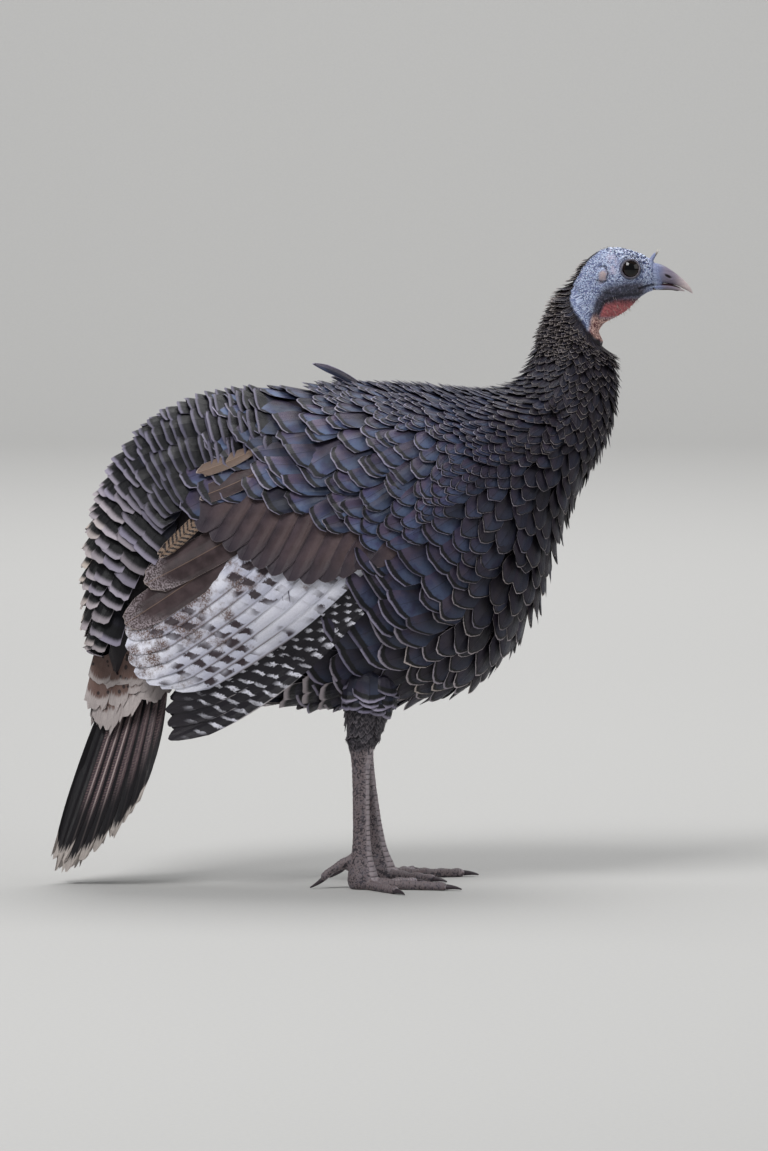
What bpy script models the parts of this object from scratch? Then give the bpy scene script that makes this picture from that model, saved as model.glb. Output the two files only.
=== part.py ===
"""A life-size standing wild turkey hen with ruffled plumage, as a still museum model.

Metres, +Z up, +X towards the bill, +Y to the bird's left. The origin lies on the floor,
under the middle of the bird's length. Tables of body measurements are in millimetres.

The body is one smooth form, lofted through cross-sections that each join a point on the
back line to a point on the belly line. It is parted into head, neck and trunk by thin cuts.
Wings, tail, thighs and legs are built over it and trimmed back to a small gap.
"""

import math

import bmesh
import bpy
import numpy as np
from mathutils import Vector
from mathutils.bvhtree import BVHTree

MM = 0.001
GAP = 0.3  # mm between neighbouring pieces
SIDES = 24  # points round a body section
SIGNS = {"right": -1, "left": 1}  # the side of the bird, as the sign of Y

# Body sections in mm: back point X, Z, belly point X, Z, half width, and how far the
# lower half is pinched into a keel (0 is a plain oval).
HEAD = [
    (252.5, 560.7, 252.5, 535.5, 7.5, 0.0),
    (243.5, 566.6, 246.2, 533.3, 11.5, 0.1),
    (232.7, 571.5, 238.1, 527.4, 15.5, 0.25),
    (221.0, 573.8, 230.9, 519.3, 17.6, 0.45),
    (207.5, 572.9, 221.9, 513.0, 17.8, 0.55),
    (195.8, 566.1, 212.9, 508.5, 16.8, 0.5),
    (186.8, 556.2, 206.6, 504.5, 16.2, 0.3),
    (178.7, 540.9, 203.0, 498.6, 17.5, 0.1),
]
NECK = [
    HEAD[-1],
    (161.5, 522.9, 206.6, 489.6, 22.0, 0.0),
    (151.2, 497.7, 214.7, 477.9, 28.0, 0.0),
    (142.7, 475.2, 220.1, 456.3, 34.0, 0.0),
    (132.8, 458.1, 220.1, 433.8, 39.5, 0.0),
    (119.3, 450.0, 212.9, 405.9, 47.0, 0.0),
]
TRUNK = [
    NECK[-1],
    (98.6, 448.2, 199.4, 375.3, 59.0, 0.0),
    (69.8, 450.0, 179.6, 339.3, 73.0, 0.0),
    (35.6, 452.7, 166.1, 301.5, 85.0, 0.0),
    (2.3, 454.5, 153.0, 256.5, 94.0, 0.0),
    (-27.5, 454.5, 128.3, 212.5, 100.0, 0.0),
    (-54.5, 452.7, 92.3, 175.5, 102.0, 0.0),
    (-78.8, 450.9, 38.3, 163.8, 102.0, 0.0),
    (-105.8, 449.1, -20.3, 160.2, 100.0, 0.0),
    (-135.5, 445.5, -69.8, 160.2, 96.0, 0.0),
    (-164.3, 439.2, -110.3, 164.7, 90.0, 0.0),
    (-193.1, 424.8, -142.7, 169.2, 82.0, 0.0),
    (-220.1, 398.7, -166.1, 172.8, 73.0, 0.0),
    (-241.7, 362.7, -182.3, 175.5, 63.0, 0.0),
    (-254.3, 317.7, -194.0, 176.4, 55.0, 0.0),
    (-259.7, 265.5, -203.9, 176.4, 47.0, 0.0),
    (-256.1, 220.5, -212.9, 175.5, 40.0, 0.0),
    (-248.0, 186.3, -222.8, 172.8, 32.0, 0.0),
]
# The bill's two halves, sectioned the same way from base to tip.
BILL_UPPER = [
    (252.9, 560.7, 252.9, 541.1, 7.2, 0.0),
    (260.6, 558.5, 260.6, 541.6, 6.4, 0.0),
    (268.7, 553.5, 267.8, 540.9, 5.4, 0.0),
    (275.9, 548.1, 274.1, 539.1, 4.2, 0.0),
    (282.2, 542.3, 279.5, 536.4, 2.9, 0.0),
    (285.8, 537.3, 284.0, 534.2, 1.6, 0.0),
    (287.6, 532.9, 287.2, 532.3, 0.4, 0.0),
]
BILL_LOWER = [
    (252.9, 540.4, 252.9, 535.2, 6.6, 0.0),
    (260.6, 540.6, 260.6, 536.2, 5.8, 0.0),
    (268.7, 539.7, 268.7, 535.9, 4.6, 0.0),
    (275.0, 537.7, 275.0, 535.1, 3.2, 0.0),
    (280.4, 535.2, 280.4, 534.0, 1.6, 0.0),
]

EYE_CENTRE, EYE_SIZE = (231.1, 13.0, 554.9), (9.4, 5.6, 9.4)
EAR_CENTRE, EAR_SIZE = (207.1, 16.6, 549.2), (6.5, 2.6, 6.5)
SNOOD_FOOT, SNOOD_TIP, SNOOD_RADII = (249.3, 0, 560.8), (255.2, 0, 571.3), (2.6, 0.9)

# A folded wing, sectioned from shoulder to tip: upper edge X, Z, lower edge X, Z, the least
# that its outer face stands from the middle of the body, and its thickness before trimming.
WING = [
    (100.0, 394.0, 101.0, 384.0, 30.0, 14.0),
    (84.0, 418.0, 92.0, 358.0, 40.0, 16.0),
    (50.0, 431.0, 66.0, 334.0, 50.0, 18.0),
    (-2.0, 436.0, 22.0, 292.0, 60.0, 18.0),
    (-56.0, 427.0, -18.0, 252.0, 64.0, 18.0),
    (-104.0, 410.0, -62.0, 213.0, 80.0, 17.0),
    (-146.0, 384.0, -100.0, 176.0, 88.0, 16.0),
    (-172.0, 330.0, -134.0, 160.0, 86.0, 14.0),
    (-198.0, 276.0, -160.0, 151.0, 80.0, 11.0),
    (-218.0, 222.0, -180.0, 146.5, 71.0, 7.0),
    (-226.0, 188.0, -189.0, 143.5, 64.0, 4.0),
]
WING_RIM = 3.0  # thickness along the wing's edge
WING_CURL = (16.0, 12.0)  # how far the upper and the lower edge bend towards the body
WING_RISE = (2.0, 6.0)  # how far it stands off the trunk at its edge, and what the middle adds
QUILL_STEP = 5.0  # how far feather tips stand out along wing and tail edges
WING_TIP_ROWS = 10  # stations that carry stepped quill tips

# The folded tail is a roof: a ridge of central feathers with a panel falling away each side.
TAIL_RIDGE_START, TAIL_DIRECTION = (-236.0, 172.0), (-0.311, -0.950)
TAIL_LENGTH, TAIL_SHORTENING = 165.0, 86.0  # central feathers, and what the outermost lack
TAIL_DEPTH, TAIL_HALF_WIDTH = (42.0, 56.0), (30.0, 50.0)  # at the root and at the tips
TAIL_THICKNESS = 4.0
TAIL_FEATHERS = 9  # on each side of the ridge
COVERT_RIDGE_START, COVERT_DIRECTION = (-247.5, 196.0), (-0.12, -0.993)
COVERT_LENGTH, COVERT_SHORTENING = 62.0, 22.0
COVERT_DEPTH, COVERT_HALF_WIDTH = (54.0, 62.0), (40.0, 52.0)
COVERT_THICKNESS = 6.0
COVERT_FEATHERS = 5

# Leg sections in mm: height, X, half depth along X, half width along Y.
THIGH = [
    (196.0, -4.0, 29.0, 25.0),
    (166.5, -3.0, 23.5, 20.0),
    (155.7, -5.8, 20.0, 17.0),
    (142.0, -7.0, 16.8, 13.5),
    (134.0, -8.6, 13.4, 11.0),
]
SHANK = [
    (133.4, -8.7, 13.2, 10.6),
    (120.0, -10.3, 9.2, 7.6),
    (104.0, -10.4, 7.8, 5.8),
    (80.0, -10.3, 7.5, 5.2),
    (56.0, -10.0, 7.6, 5.4),
    (38.0, -9.6, 8.3, 6.4),
    (26.0, -9.9, 10.2, 8.4),
    (17.0, -9.0, 12.6, 11.6),
    (9.0, -8.6, 14.4, 14.0),
    (3.0, -8.6, 13.4, 13.2),
    (-1.0, -8.6, 11.0, 11.0),
]
HIP_Y, FOOT_Y = 46.0, 42.0
STRIDE = {"right": 0.0, "left": 16.7}  # how far forward each foot stands

# Toes: angle outwards from straight ahead in degrees, length, radius at base and at tip,
# number of pads.
TOES = {
    "inner": (-33.0, 57.0, 4.8, 3.8, 2),
    "middle": (12.0, 77.0, 5.3, 4.1, 3),
    "outer": (57.0, 55.0, 4.7, 3.7, 4),
}
CLAW_LENGTH, CLAW_RADIUS = 13.0, 3.0
HALLUX_START, HALLUX_END = (-16.5, 23.0), (-36.5, 8.5)  # X from the foot, Z
HALLUX_RADII, HALLUX_CLAW_END = (4.4, 3.2), (-47.5, 0.9)
HIND_CLAW_RADIUS = 2.6


def material(name, colour, roughness):
    made = bpy.data.materials.new(name)
    made.use_nodes = True
    shader = made.node_tree.nodes["Principled BSDF"]
    shader.inputs["Base Color"].default_value = (*colour, 1)
    shader.inputs["Roughness"].default_value = roughness
    made.diffuse_color = (*colour, 1)
    return made


def spline_rows(rows, count):
    """Rows of numbers resampled to count rows along a Catmull-Rom curve through them."""
    table = np.array(rows, float)
    ends = np.vstack([2 * table[0] - table[1], table, 2 * table[-1] - table[-2]])
    made = []
    for position in np.linspace(0, len(table) - 1, count):
        i = min(int(position), len(table) - 2)
        t = position - i
        a, b, c, d = ends[i : i + 4]
        made.append(
            0.5 * (2 * b + (c - a) * t + (2 * a - 5 * b + 4 * c - d) * t**2
                   + (3 * b - a - 3 * c + d) * t**3)
        )
    return np.array(made)


def section_ring(row, sides=SIDES):
    """A ring of points in mm round one body section, in the plane of its two line points."""
    back, belly = np.array([row[0], 0, row[1]]), np.array([row[2], 0, row[3]])
    middle, up = (back + belly) / 2, (back - belly) / 2
    ring = []
    for k in range(sides):
        angle = 2 * math.pi * k / sides
        height, across = math.cos(angle), math.sin(angle)
        pinch = 1 - row[5] * max(0.0, -height) ** 1.5
        ring.append(middle + up * height + np.array([0, row[4] * pinch * across, 0]))
    return ring


def add_object(name, bm, look):
    """Triangles, so that a piece and the cutter copied from it have the same facets."""
    bmesh.ops.recalc_face_normals(bm, faces=bm.faces)
    bmesh.ops.triangulate(bm, faces=bm.faces)
    mesh = bpy.data.meshes.new(name)
    bm.to_mesh(mesh)
    bm.free()
    mesh.shade_smooth()
    mesh.set_sharp_from_angle(angle=math.radians(50))
    made = bpy.data.objects.new(name, mesh)
    made.data.materials.append(look)
    bpy.context.scene.collection.objects.link(made)
    return made


def loft(name, rings, look, clamp_to_floor=False):
    """A closed tube through rings of points in mm, with a flat cap on each end."""
    bm = bmesh.new()
    made = []
    for ring in rings:
        points = [Vector(p) * MM for p in ring]
        if clamp_to_floor:
            points = [Vector((p.x, p.y, max(p.z, 0.0))) for p in points]
        made.append([bm.verts.new(p) for p in points])
    for low, high in zip(made, made[1:]):
        for k in range(len(low)):
            j = (k + 1) % len(low)
            bm.faces.new((low[k], low[j], high[j], high[k]))
    bm.faces.new(made[0])
    bm.faces.new(made[-1])
    return add_object(name, bm, look)


def drawn_back(rings, first, last):
    """The rings with the first and last moved inwards by these distances in mm."""
    rings = [np.array(ring) for ring in rings]
    for end, inner, distance in ((0, 1, first), (-1, -2, last)):
        step = rings[inner].mean(0) - rings[end].mean(0)
        a, b, c = rings[end][0], rings[end][len(rings[end]) // 3], rings[end].mean(0)
        normal = np.cross(a - c, b - c)
        normal /= np.linalg.norm(normal)
        rings[end] = rings[end] + normal * math.copysign(distance, normal @ step)
    return rings


def tube(name, centres, radii, look, sides=8, clamp_to_floor=False):
    """A tapered tube along centres in mm."""
    rings = []
    for i, centre in enumerate(centres):
        before, after = centres[max(i - 1, 0)], centres[min(i + 1, len(centres) - 1)]
        along = (Vector(after) - Vector(before)).normalized()
        side = along.cross(Vector((0, 0, 1))).normalized()
        upward = side.cross(along)
        ring = []
        for k in range(sides):
            angle = 2 * math.pi * k / sides
            offset = side * math.cos(angle) + upward * math.sin(angle)
            ring.append(Vector(centre) + offset * radii[i])
        rings.append(ring)
    return loft(name, rings, look, clamp_to_floor)


def ball(name, centre, size, look, segments=14, rings=8):
    bm = bmesh.new()
    bmesh.ops.create_uvsphere(bm, u_segments=segments, v_segments=rings, radius=1)
    for vertex in bm.verts:
        vertex.co = Vector([c + s * x for c, s, x in zip(centre, size, vertex.co)]) * MM
    return add_object(name, bm, look)


def grown_copy(obj, by=GAP + 0.15):
    """A hidden cutter: the object's own shape with its skin moved out by a gap in mm."""
    mesh = obj.data.copy()
    normals = [v.normal.copy() for v in mesh.vertices]
    for vertex, normal in zip(mesh.vertices, normals):
        vertex.co += normal * by * MM
    made = bpy.data.objects.new(obj.name + "_cutter", mesh)
    bpy.context.scene.collection.objects.link(made)
    made.hide_render = True
    made.display_type = "WIRE"
    return made


def trim(obj, *cutters):
    for cutter in cutters:
        modifier = obj.modifiers.new("trim", "BOOLEAN")
        modifier.operation = "DIFFERENCE"
        modifier.object = cutter


def shell(name, outer, inner, look):
    """A closed plate between two grids of points in mm that have the same layout."""
    bm = bmesh.new()
    faces = [[[bm.verts.new(Vector(p) * MM) for p in row] for row in g] for g in (outer, inner)]
    rows, columns = len(outer), len(outer[0])
    for grid in faces:
        for i in range(rows - 1):
            for j in range(columns - 1):
                bm.faces.new((grid[i][j], grid[i + 1][j], grid[i + 1][j + 1], grid[i][j + 1]))
    rim = [(0, j) for j in range(columns)] + [(i, columns - 1) for i in range(1, rows)]
    rim += [(rows - 1, j) for j in range(columns - 2, -1, -1)]
    rim += [(i, 0) for i in range(rows - 2, 0, -1)]
    for here, there in zip(rim, rim[1:] + rim[:1]):
        bm.faces.new([faces[0][here[0]][here[1]], faces[0][there[0]][there[1]],
                      faces[1][there[0]][there[1]], faces[1][here[0]][here[1]]])
    return add_object(name, bm, look)


def make_body(looks):
    """Head, neck and trunk, cut apart on shared sections."""
    head_rows, neck_rows = spline_rows(HEAD, 14), spline_rows(NECK, 9)
    trunk_rows = spline_rows(TRUNK, 24)
    half_gap = GAP / 2 + 0.02
    head = loft("head", drawn_back([section_ring(r) for r in head_rows], 0, half_gap),
                looks["bare_skin"])
    neck = loft("neck", drawn_back([section_ring(r) for r in neck_rows], half_gap, half_gap),
                looks["dark_feather"])
    trunk = loft("trunk", drawn_back([section_ring(r) for r in trunk_rows], half_gap, 0),
                 looks["dark_feather"])
    return head, neck, trunk


def make_face(head, looks):
    """Bill, eyes, ears and snood."""
    for name, rows, count in (("bill_upper", BILL_UPPER, 10), ("bill_lower", BILL_LOWER, 7)):
        loft(name, [section_ring(r, 12) for r in spline_rows(rows, count)], looks["bill_horn"])
    x, y, z = EYE_CENTRE
    for side, sign in SIGNS.items():
        eye = ball(f"eye_{side}", (x, sign * y, z), EYE_SIZE, looks["eye"])
        ear_place = (EAR_CENTRE[0], sign * EAR_CENTRE[1], EAR_CENTRE[2])
        ear = ball(f"ear_{side}", ear_place, EAR_SIZE, looks["ear_patch"], 10, 5)
        trim(head, grown_copy(eye), grown_copy(ear))
    steps = np.linspace(0, 1, 5)
    foot, tip = np.array(SNOOD_FOOT), np.array(SNOOD_TIP)
    snood = tube("snood", [tuple(foot + (tip - foot) * t) for t in steps],
                 [SNOOD_RADII[0] + (SNOOD_RADII[1] - SNOOD_RADII[0]) * t for t in steps],
                 looks["bare_skin"])
    trim(snood, grown_copy(head, GAP + 0.1))


def trunk_side(tree, x, z, sign):
    """How far in mm the trunk's side stands from its middle at this place, or 0."""
    hit = tree.ray_cast(Vector((x, sign * 400, z)) * MM, Vector((0, -sign, 0)))[0]
    return abs(hit.y) / MM if hit else 0.0


def make_wing(side, sign, trunk, cutter, looks):
    """A folded wing: a curved plate over the trunk's side, with stepped quill tips behind."""
    tree = BVHTree.FromObject(trunk, bpy.context.evaluated_depsgraph_get())
    rows, columns = spline_rows(WING, 22), 7
    outer, inner = [], []
    for i, row in enumerate(rows):
        upper, lower = np.array(row[0:2]), np.array(row[2:4])
        if i >= len(rows) - WING_TIP_ROWS and i % 2:
            away = np.array([-0.8, 0.6])
            upper = upper + away * QUILL_STEP
        outer_row, inner_row = [], []
        for j in range(columns):
            v = j / (columns - 1)
            x, z = upper + (lower - upper) * v
            curl = WING_CURL[0] * max(0, 1 - 2 * v) ** 2 + WING_CURL[1] * max(0, 2 * v - 1) ** 2
            rim = min(1.0, 4 * min(v, 1 - v) + 0.15, i / 3 + 0.2)
            thick = WING_RIM + (row[5] - WING_RIM) * rim
            y = max(row[4] - curl, trunk_side(tree, x, z, sign) + WING_RISE[0] + WING_RISE[1] * rim)
            outer_row.append((x, sign * y, z))
            inner_row.append((x, sign * (y - thick), z))
        outer.append(outer_row)
        inner.append(inner_row)
    wing = shell(f"wing_{side}", outer, inner, looks["wing_feather"])
    trim(wing, cutter)
    return wing


def roof(name, start, direction, length, shortening, depth, half_width, thickness, feathers,
         look):
    """A ridge with a panel falling away on each side, ending in stepped feather tips."""
    along = np.array([direction[0], 0, direction[1]])
    along /= np.linalg.norm(along)
    under = np.array([-along[2], 0, along[0]])
    ridge = np.array([start[0], 0, start[1]])
    steps, columns = 4, 2 * feathers
    outer, inner = [], []
    for i in range(steps + 1):
        t = i / steps
        rows = ([], [])
        for j in range(-columns, columns + 1):
            v = j / columns
            reach = length - shortening * abs(v) ** 1.4 + QUILL_STEP * (t if j % 2 else 0)
            fall = (depth[0] + (depth[1] - depth[0]) * t) * abs(v) ** 1.15
            aside = (half_width[0] + (half_width[1] - half_width[0]) * t) * v
            point = ridge + along * reach * t + under * fall + np.array([0, aside, 0])
            lean = np.array([0, -0.6 * max(-1, min(1, 5 * v)), 0])
            rows[0].append(point)
            rows[1].append(point + (under + lean) * thickness * (1 - 0.55 * t))
        outer.append(rows[0])
        inner.append(rows[1])
    return shell(name, outer, inner, look)


def oval_rings(rows, y_of_height, stride_of_height, sign):
    rings = []
    for height, x, depth, width in rows:
        centre = np.array([x + stride_of_height(height), sign * y_of_height(height), height])
        ring = []
        for k in range(12):
            angle = 2 * math.pi * k / 12
            ring.append(centre + [depth * math.cos(angle), width * math.sin(angle), 0])
        rings.append(ring)
    return rings


def make_leg(side, sign, trunk_cutter, looks):
    """Thigh, shank with its foot pad, four toes and their claws."""
    knee = THIGH[-1][0]

    def y_at(height):
        return FOOT_Y + (HIP_Y - FOOT_Y) * min(max(height / knee, 0), 1)

    def stride_at(height):
        return STRIDE[side] * min(max(1 - height / knee, 0), 1)

    thigh = loft(f"thigh_{side}", oval_rings(spline_rows(THIGH, 6), y_at, stride_at, sign),
                 looks["thigh_feather"])
    trim(thigh, trunk_cutter)
    shank = loft(f"leg_{side}", oval_rings(spline_rows(SHANK, 15), y_at, stride_at, sign),
                 looks["leg_scale"], clamp_to_floor=True)
    pad_cutter = grown_copy(shank, GAP + 0.1)
    foot = np.array([SHANK[-1][1] + STRIDE[side], sign * FOOT_Y, 0])
    for name, (angle, length, base, tip, pads) in TOES.items():
        heading = math.radians(angle)
        ahead = np.array([math.cos(heading), sign * math.sin(heading), 0])
        make_toe(f"{side}_{name}", foot, ahead, length, (base, tip), pads, pad_cutter, looks)
    make_hallux(side, foot, pad_cutter, looks)


def make_toe(name, foot, ahead, length, radii, pads, pad_cutter, looks):
    steps = np.linspace(0, 1, 2 * pads + 3)
    swell = [1 - 0.08 * math.cos(2 * math.pi * pads * t) for t in steps]
    widths = [(radii[0] + (radii[1] - radii[0]) * t) * s for t, s in zip(steps, swell)]
    centres = [tuple(foot + ahead * (7 + (length - 7) * t) + [0, 0, w * 0.82])
               for t, w in zip(steps, widths)]
    toe = tube(f"toe_{name}", centres, widths, looks["leg_scale"], clamp_to_floor=True)
    trim(toe, pad_cutter)
    start = np.array(centres[-1]) + ahead * 2 * GAP
    bend = np.linspace(0, 1, 5)
    claw_centres = [tuple(start + ahead * CLAW_LENGTH * t + [0, 0, 0.9 * t - 2.6 * t * t])
                    for t in bend]
    claw_radii = [CLAW_RADIUS * (1 - 0.8 * t) for t in bend]
    tube(f"claw_{name}", claw_centres, claw_radii, looks["claw"], clamp_to_floor=True)


def make_hallux(side, foot, pad_cutter, looks):
    """The short hind toe: it leaves the shank above the floor, and its claw reaches down."""
    start = foot + [HALLUX_START[0], 0, HALLUX_START[1]]
    end = foot + [HALLUX_END[0], 0, HALLUX_END[1]]
    steps = np.linspace(-0.5, 1, 6)
    centres = [tuple(start + (end - start) * t + [0, 0, 2.0 * math.sin(math.pi * t)])
               for t in steps]
    radii = [HALLUX_RADII[0] + (HALLUX_RADII[1] - HALLUX_RADII[0]) * t for t in steps]
    toe = tube(f"toe_{side}_hind", centres, radii, looks["leg_scale"])
    trim(toe, pad_cutter)
    along = np.array(centres[-1]) - np.array(centres[-2])
    along /= np.linalg.norm(along)
    tip = foot + [HALLUX_CLAW_END[0], 0, HALLUX_CLAW_END[1]]
    first = np.array(centres[-1]) + along * 2 * GAP
    middle = first + along * np.linalg.norm(tip - first) * 0.5
    bend = np.linspace(0, 1, 5)
    claw = [tuple(first * (1 - t) ** 2 + middle * 2 * t * (1 - t) + tip * t * t) for t in bend]
    tube(f"claw_{side}_hind", claw, [HIND_CLAW_RADIUS * (1 - 0.75 * t) for t in bend],
         looks["claw"], clamp_to_floor=True)


def make_looks():
    return {
        "bare_skin": material("bare_skin", (0.36, 0.40, 0.50), 0.6),
        "dark_feather": material("dark_feather", (0.045, 0.038, 0.042), 0.5),
        "wing_feather": material("wing_feather", (0.30, 0.27, 0.27), 0.6),
        "tail_feather": material("tail_feather", (0.08, 0.06, 0.055), 0.6),
        "covert_feather": material("covert_feather", (0.45, 0.36, 0.30), 0.7),
        "thigh_feather": material("thigh_feather", (0.14, 0.12, 0.11), 0.8),
        "leg_scale": material("leg_scale", (0.28, 0.23, 0.23), 0.5),
        "bill_horn": material("bill_horn", (0.42, 0.38, 0.38), 0.4),
        "claw": material("claw", (0.10, 0.08, 0.08), 0.4),
        "eye": material("eye", (0.02, 0.014, 0.012), 0.08),
        "ear_patch": material("ear_patch", (0.50, 0.42, 0.38), 0.7),
    }


def main():
    for obj in list(bpy.data.objects):
        bpy.data.objects.remove(obj)
    looks = make_looks()
    head, neck, trunk = make_body(looks)
    make_face(head, looks)
    trunk_cutter = grown_copy(trunk)
    bpy.context.view_layer.update()
    for side, sign in SIGNS.items():
        make_wing(side, sign, trunk, trunk_cutter, looks)
        make_leg(side, sign, trunk_cutter, looks)
    tail = roof("tail", TAIL_RIDGE_START, TAIL_DIRECTION, TAIL_LENGTH, TAIL_SHORTENING,
                TAIL_DEPTH, TAIL_HALF_WIDTH, TAIL_THICKNESS, TAIL_FEATHERS,
                looks["tail_feather"])
    coverts = roof("tail_coverts", COVERT_RIDGE_START, COVERT_DIRECTION, COVERT_LENGTH,
                   COVERT_SHORTENING, COVERT_DEPTH, COVERT_HALF_WIDTH, COVERT_THICKNESS,
                   COVERT_FEATHERS, looks["covert_feather"])
    trim(tail, trunk_cutter)
    trim(coverts, trunk_cutter, grown_copy(tail, GAP + 0.3))


main()
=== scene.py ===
# %% [markdown]
# # A wild turkey hen, life size
# The bird stands still, looking along +X, with its right side to the camera. The solids give
# its true size and outline. Here it gets what the eye meets first: bare head skin, scaly legs,
# and about three and a half thousand feathers, each a thin closed vane. The frame is loaded before
# anything else, so that every later place can be read from it.

# %% Load the frame
import math
from contextlib import contextmanager

import bpy
import numpy as np
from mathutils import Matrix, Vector, noise
from mathutils.bvhtree import BVHTree


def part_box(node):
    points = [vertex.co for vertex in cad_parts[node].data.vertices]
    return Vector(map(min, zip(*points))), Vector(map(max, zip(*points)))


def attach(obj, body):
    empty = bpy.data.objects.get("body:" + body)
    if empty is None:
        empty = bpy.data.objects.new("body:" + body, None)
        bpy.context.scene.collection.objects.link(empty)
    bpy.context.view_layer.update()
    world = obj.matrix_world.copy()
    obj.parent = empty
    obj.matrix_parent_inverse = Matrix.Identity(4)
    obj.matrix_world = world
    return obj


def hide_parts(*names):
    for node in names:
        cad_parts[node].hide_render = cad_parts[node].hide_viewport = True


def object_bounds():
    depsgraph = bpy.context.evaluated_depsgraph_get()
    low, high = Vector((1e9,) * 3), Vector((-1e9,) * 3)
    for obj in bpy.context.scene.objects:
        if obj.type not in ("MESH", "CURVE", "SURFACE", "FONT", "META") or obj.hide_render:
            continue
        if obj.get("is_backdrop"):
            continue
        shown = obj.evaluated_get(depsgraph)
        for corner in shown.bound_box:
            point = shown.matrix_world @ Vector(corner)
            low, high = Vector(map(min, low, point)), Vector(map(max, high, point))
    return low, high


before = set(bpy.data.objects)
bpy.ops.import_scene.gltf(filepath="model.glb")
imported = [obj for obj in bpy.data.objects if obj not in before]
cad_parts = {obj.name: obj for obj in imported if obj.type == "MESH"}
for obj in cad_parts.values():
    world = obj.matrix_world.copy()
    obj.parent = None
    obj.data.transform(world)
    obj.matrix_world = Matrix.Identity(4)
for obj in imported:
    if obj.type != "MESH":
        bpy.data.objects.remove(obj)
CAD_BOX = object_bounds()
MM = 0.001
SIDES = {"right": -1, "left": 1}
print("solids:", len(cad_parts), "box:", [[round(x, 4) for x in corner] for corner in CAD_BOX])

# %% [markdown]
# ## Small helpers
# Operators act on whatever is selected, so each step first selects just its own object.
# A copy of a solid starts as loose triangles. Merging them gives a mesh that can be smoothed.

# %% Selecting, copying and applying


def select_only(*pieces):
    if bpy.context.object and bpy.context.object.mode != "OBJECT":
        bpy.ops.object.mode_set(mode="OBJECT")
    bpy.ops.object.select_all(action="DESELECT")
    for piece in pieces:
        piece.select_set(True)
    bpy.context.view_layer.objects.active = pieces[-1]


def apply_modifier(piece, kind, **settings):
    select_only(piece)
    modifier = piece.modifiers.new(kind, kind)
    for name, value in settings.items():
        setattr(modifier, name, value)
    bpy.ops.object.modifier_apply(modifier=modifier.name)


@contextmanager
def edit_mode(piece):
    """Edit mode with all of the piece selected."""
    select_only(piece)
    bpy.ops.object.mode_set(mode="EDIT")
    bpy.ops.mesh.select_all(action="SELECT")
    yield
    bpy.ops.object.mode_set(mode="OBJECT")


def copy_of(node, name, levels=0):
    """A merged copy of a solid, smoothed by levels of subdivision. The solid is left alone."""
    piece = bpy.data.objects.new(name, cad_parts[node].data.copy())
    bpy.context.scene.collection.objects.link(piece)
    with edit_mode(piece):
        bpy.ops.mesh.remove_doubles(threshold=0.01 * MM)
        if levels:
            bpy.ops.mesh.tris_convert_to_quads()
    piece.data.materials.clear()
    if levels:
        apply_modifier(piece, "SUBSURF", levels=levels, render_levels=levels)
    return piece


def added(name):
    """The primitive just added, named, with its turn and size made its own."""
    piece = bpy.context.object
    piece.name = name
    bpy.ops.object.transform_apply(location=True, rotation=True, scale=True)
    return piece


def joined(name, *pieces):
    select_only(*pieces)
    bpy.ops.object.join()
    piece = bpy.context.object
    piece.name = name
    piece.data.name = name
    return piece


def read_all(items, name):
    """A vector of every vertex or face, as rows."""
    values = np.empty(len(items) * 3, np.float32)
    items.foreach_get(name, values)
    return values.reshape(-1, 3).astype(float)


def vertices_of(piece):
    return read_all(piece.data.vertices, "co")


def move_vertices(piece, places):
    piece.data.vertices.foreach_set("co", np.asarray(places, np.float32).ravel())
    piece.data.update()


def vertex_normals(piece):
    return read_all(piece.data.vertex_normals, "vector")


def store(piece, name, values):
    """A number, or three, for every vertex, which a material reads by name."""
    values = np.asarray(values, np.float32)
    kind = "FLOAT" if values.ndim == 1 else "FLOAT_VECTOR"
    slot = "value" if values.ndim == 1 else "vector"
    piece.data.attributes.new(name, kind, "POINT").data.foreach_set(slot, values.ravel())


def box_of(node):
    """The low and high corners of a solid's box, in mm."""
    return [np.array(corner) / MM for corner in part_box(node)]


def triangles(piece):
    piece.data.calc_loop_triangles()
    return len(piece.data.loop_triangles)


def ramp(values, start, end):
    """0 before start, 1 after end, and a smooth rise between them."""
    t = np.clip((np.asarray(values, float) - start) / (end - start), 0, 1)
    return t * t * (3 - 2 * t)


def unit(vectors):
    return vectors / np.maximum(np.linalg.norm(vectors, axis=-1, keepdims=True), 1e-12)


rng = np.random.default_rng(7)
print("helpers ready")

# %% [markdown]
# ## The lie of the coat
# Feathers grow in rows round the body, and every row points at the tail. Rings round the body
# carry both: a ring has a centre on the body's long axis and leans as the rows lean. Each ring
# is measured by rays from outside onto the solids, so the rings are the true outer surface.
# Going from ring to ring gives the lie, and going along a ring gives a row. A station below
# is (X, Z, lean): its centre in mm and how far the row's upper end leans back, in degrees.

# %% Measuring the outer surface in rings
SPOKES = 240
# In metres: how far out a ray starts, and what stands for the surface where it misses.
REACH, MISSED = 0.22, 0.02
CLOAK_STATIONS = (
    (200, 531, 5),
    (185, 492, 62),
    (177, 449, 71),
    (158, 414, 61),
    (118, 384, 49),
    (80, 356, 42),
    (34, 327, 37),
    (-22, 306, 34),
    (-82, 288, 33),
    (-140, 262, 38),
    (-182, 232, 52),
    (-206, 200, 76),
)
RUMP_STATIONS = (
    (-30, 305, 8),
    (-84, 300, 12),
    (-128, 297, 20),
    (-152, 296, 36),
    (-164, 278, 50),
    (-174, 248, 57),
    (-186, 220, 63),
    (-198, 194, 70),
)


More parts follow.
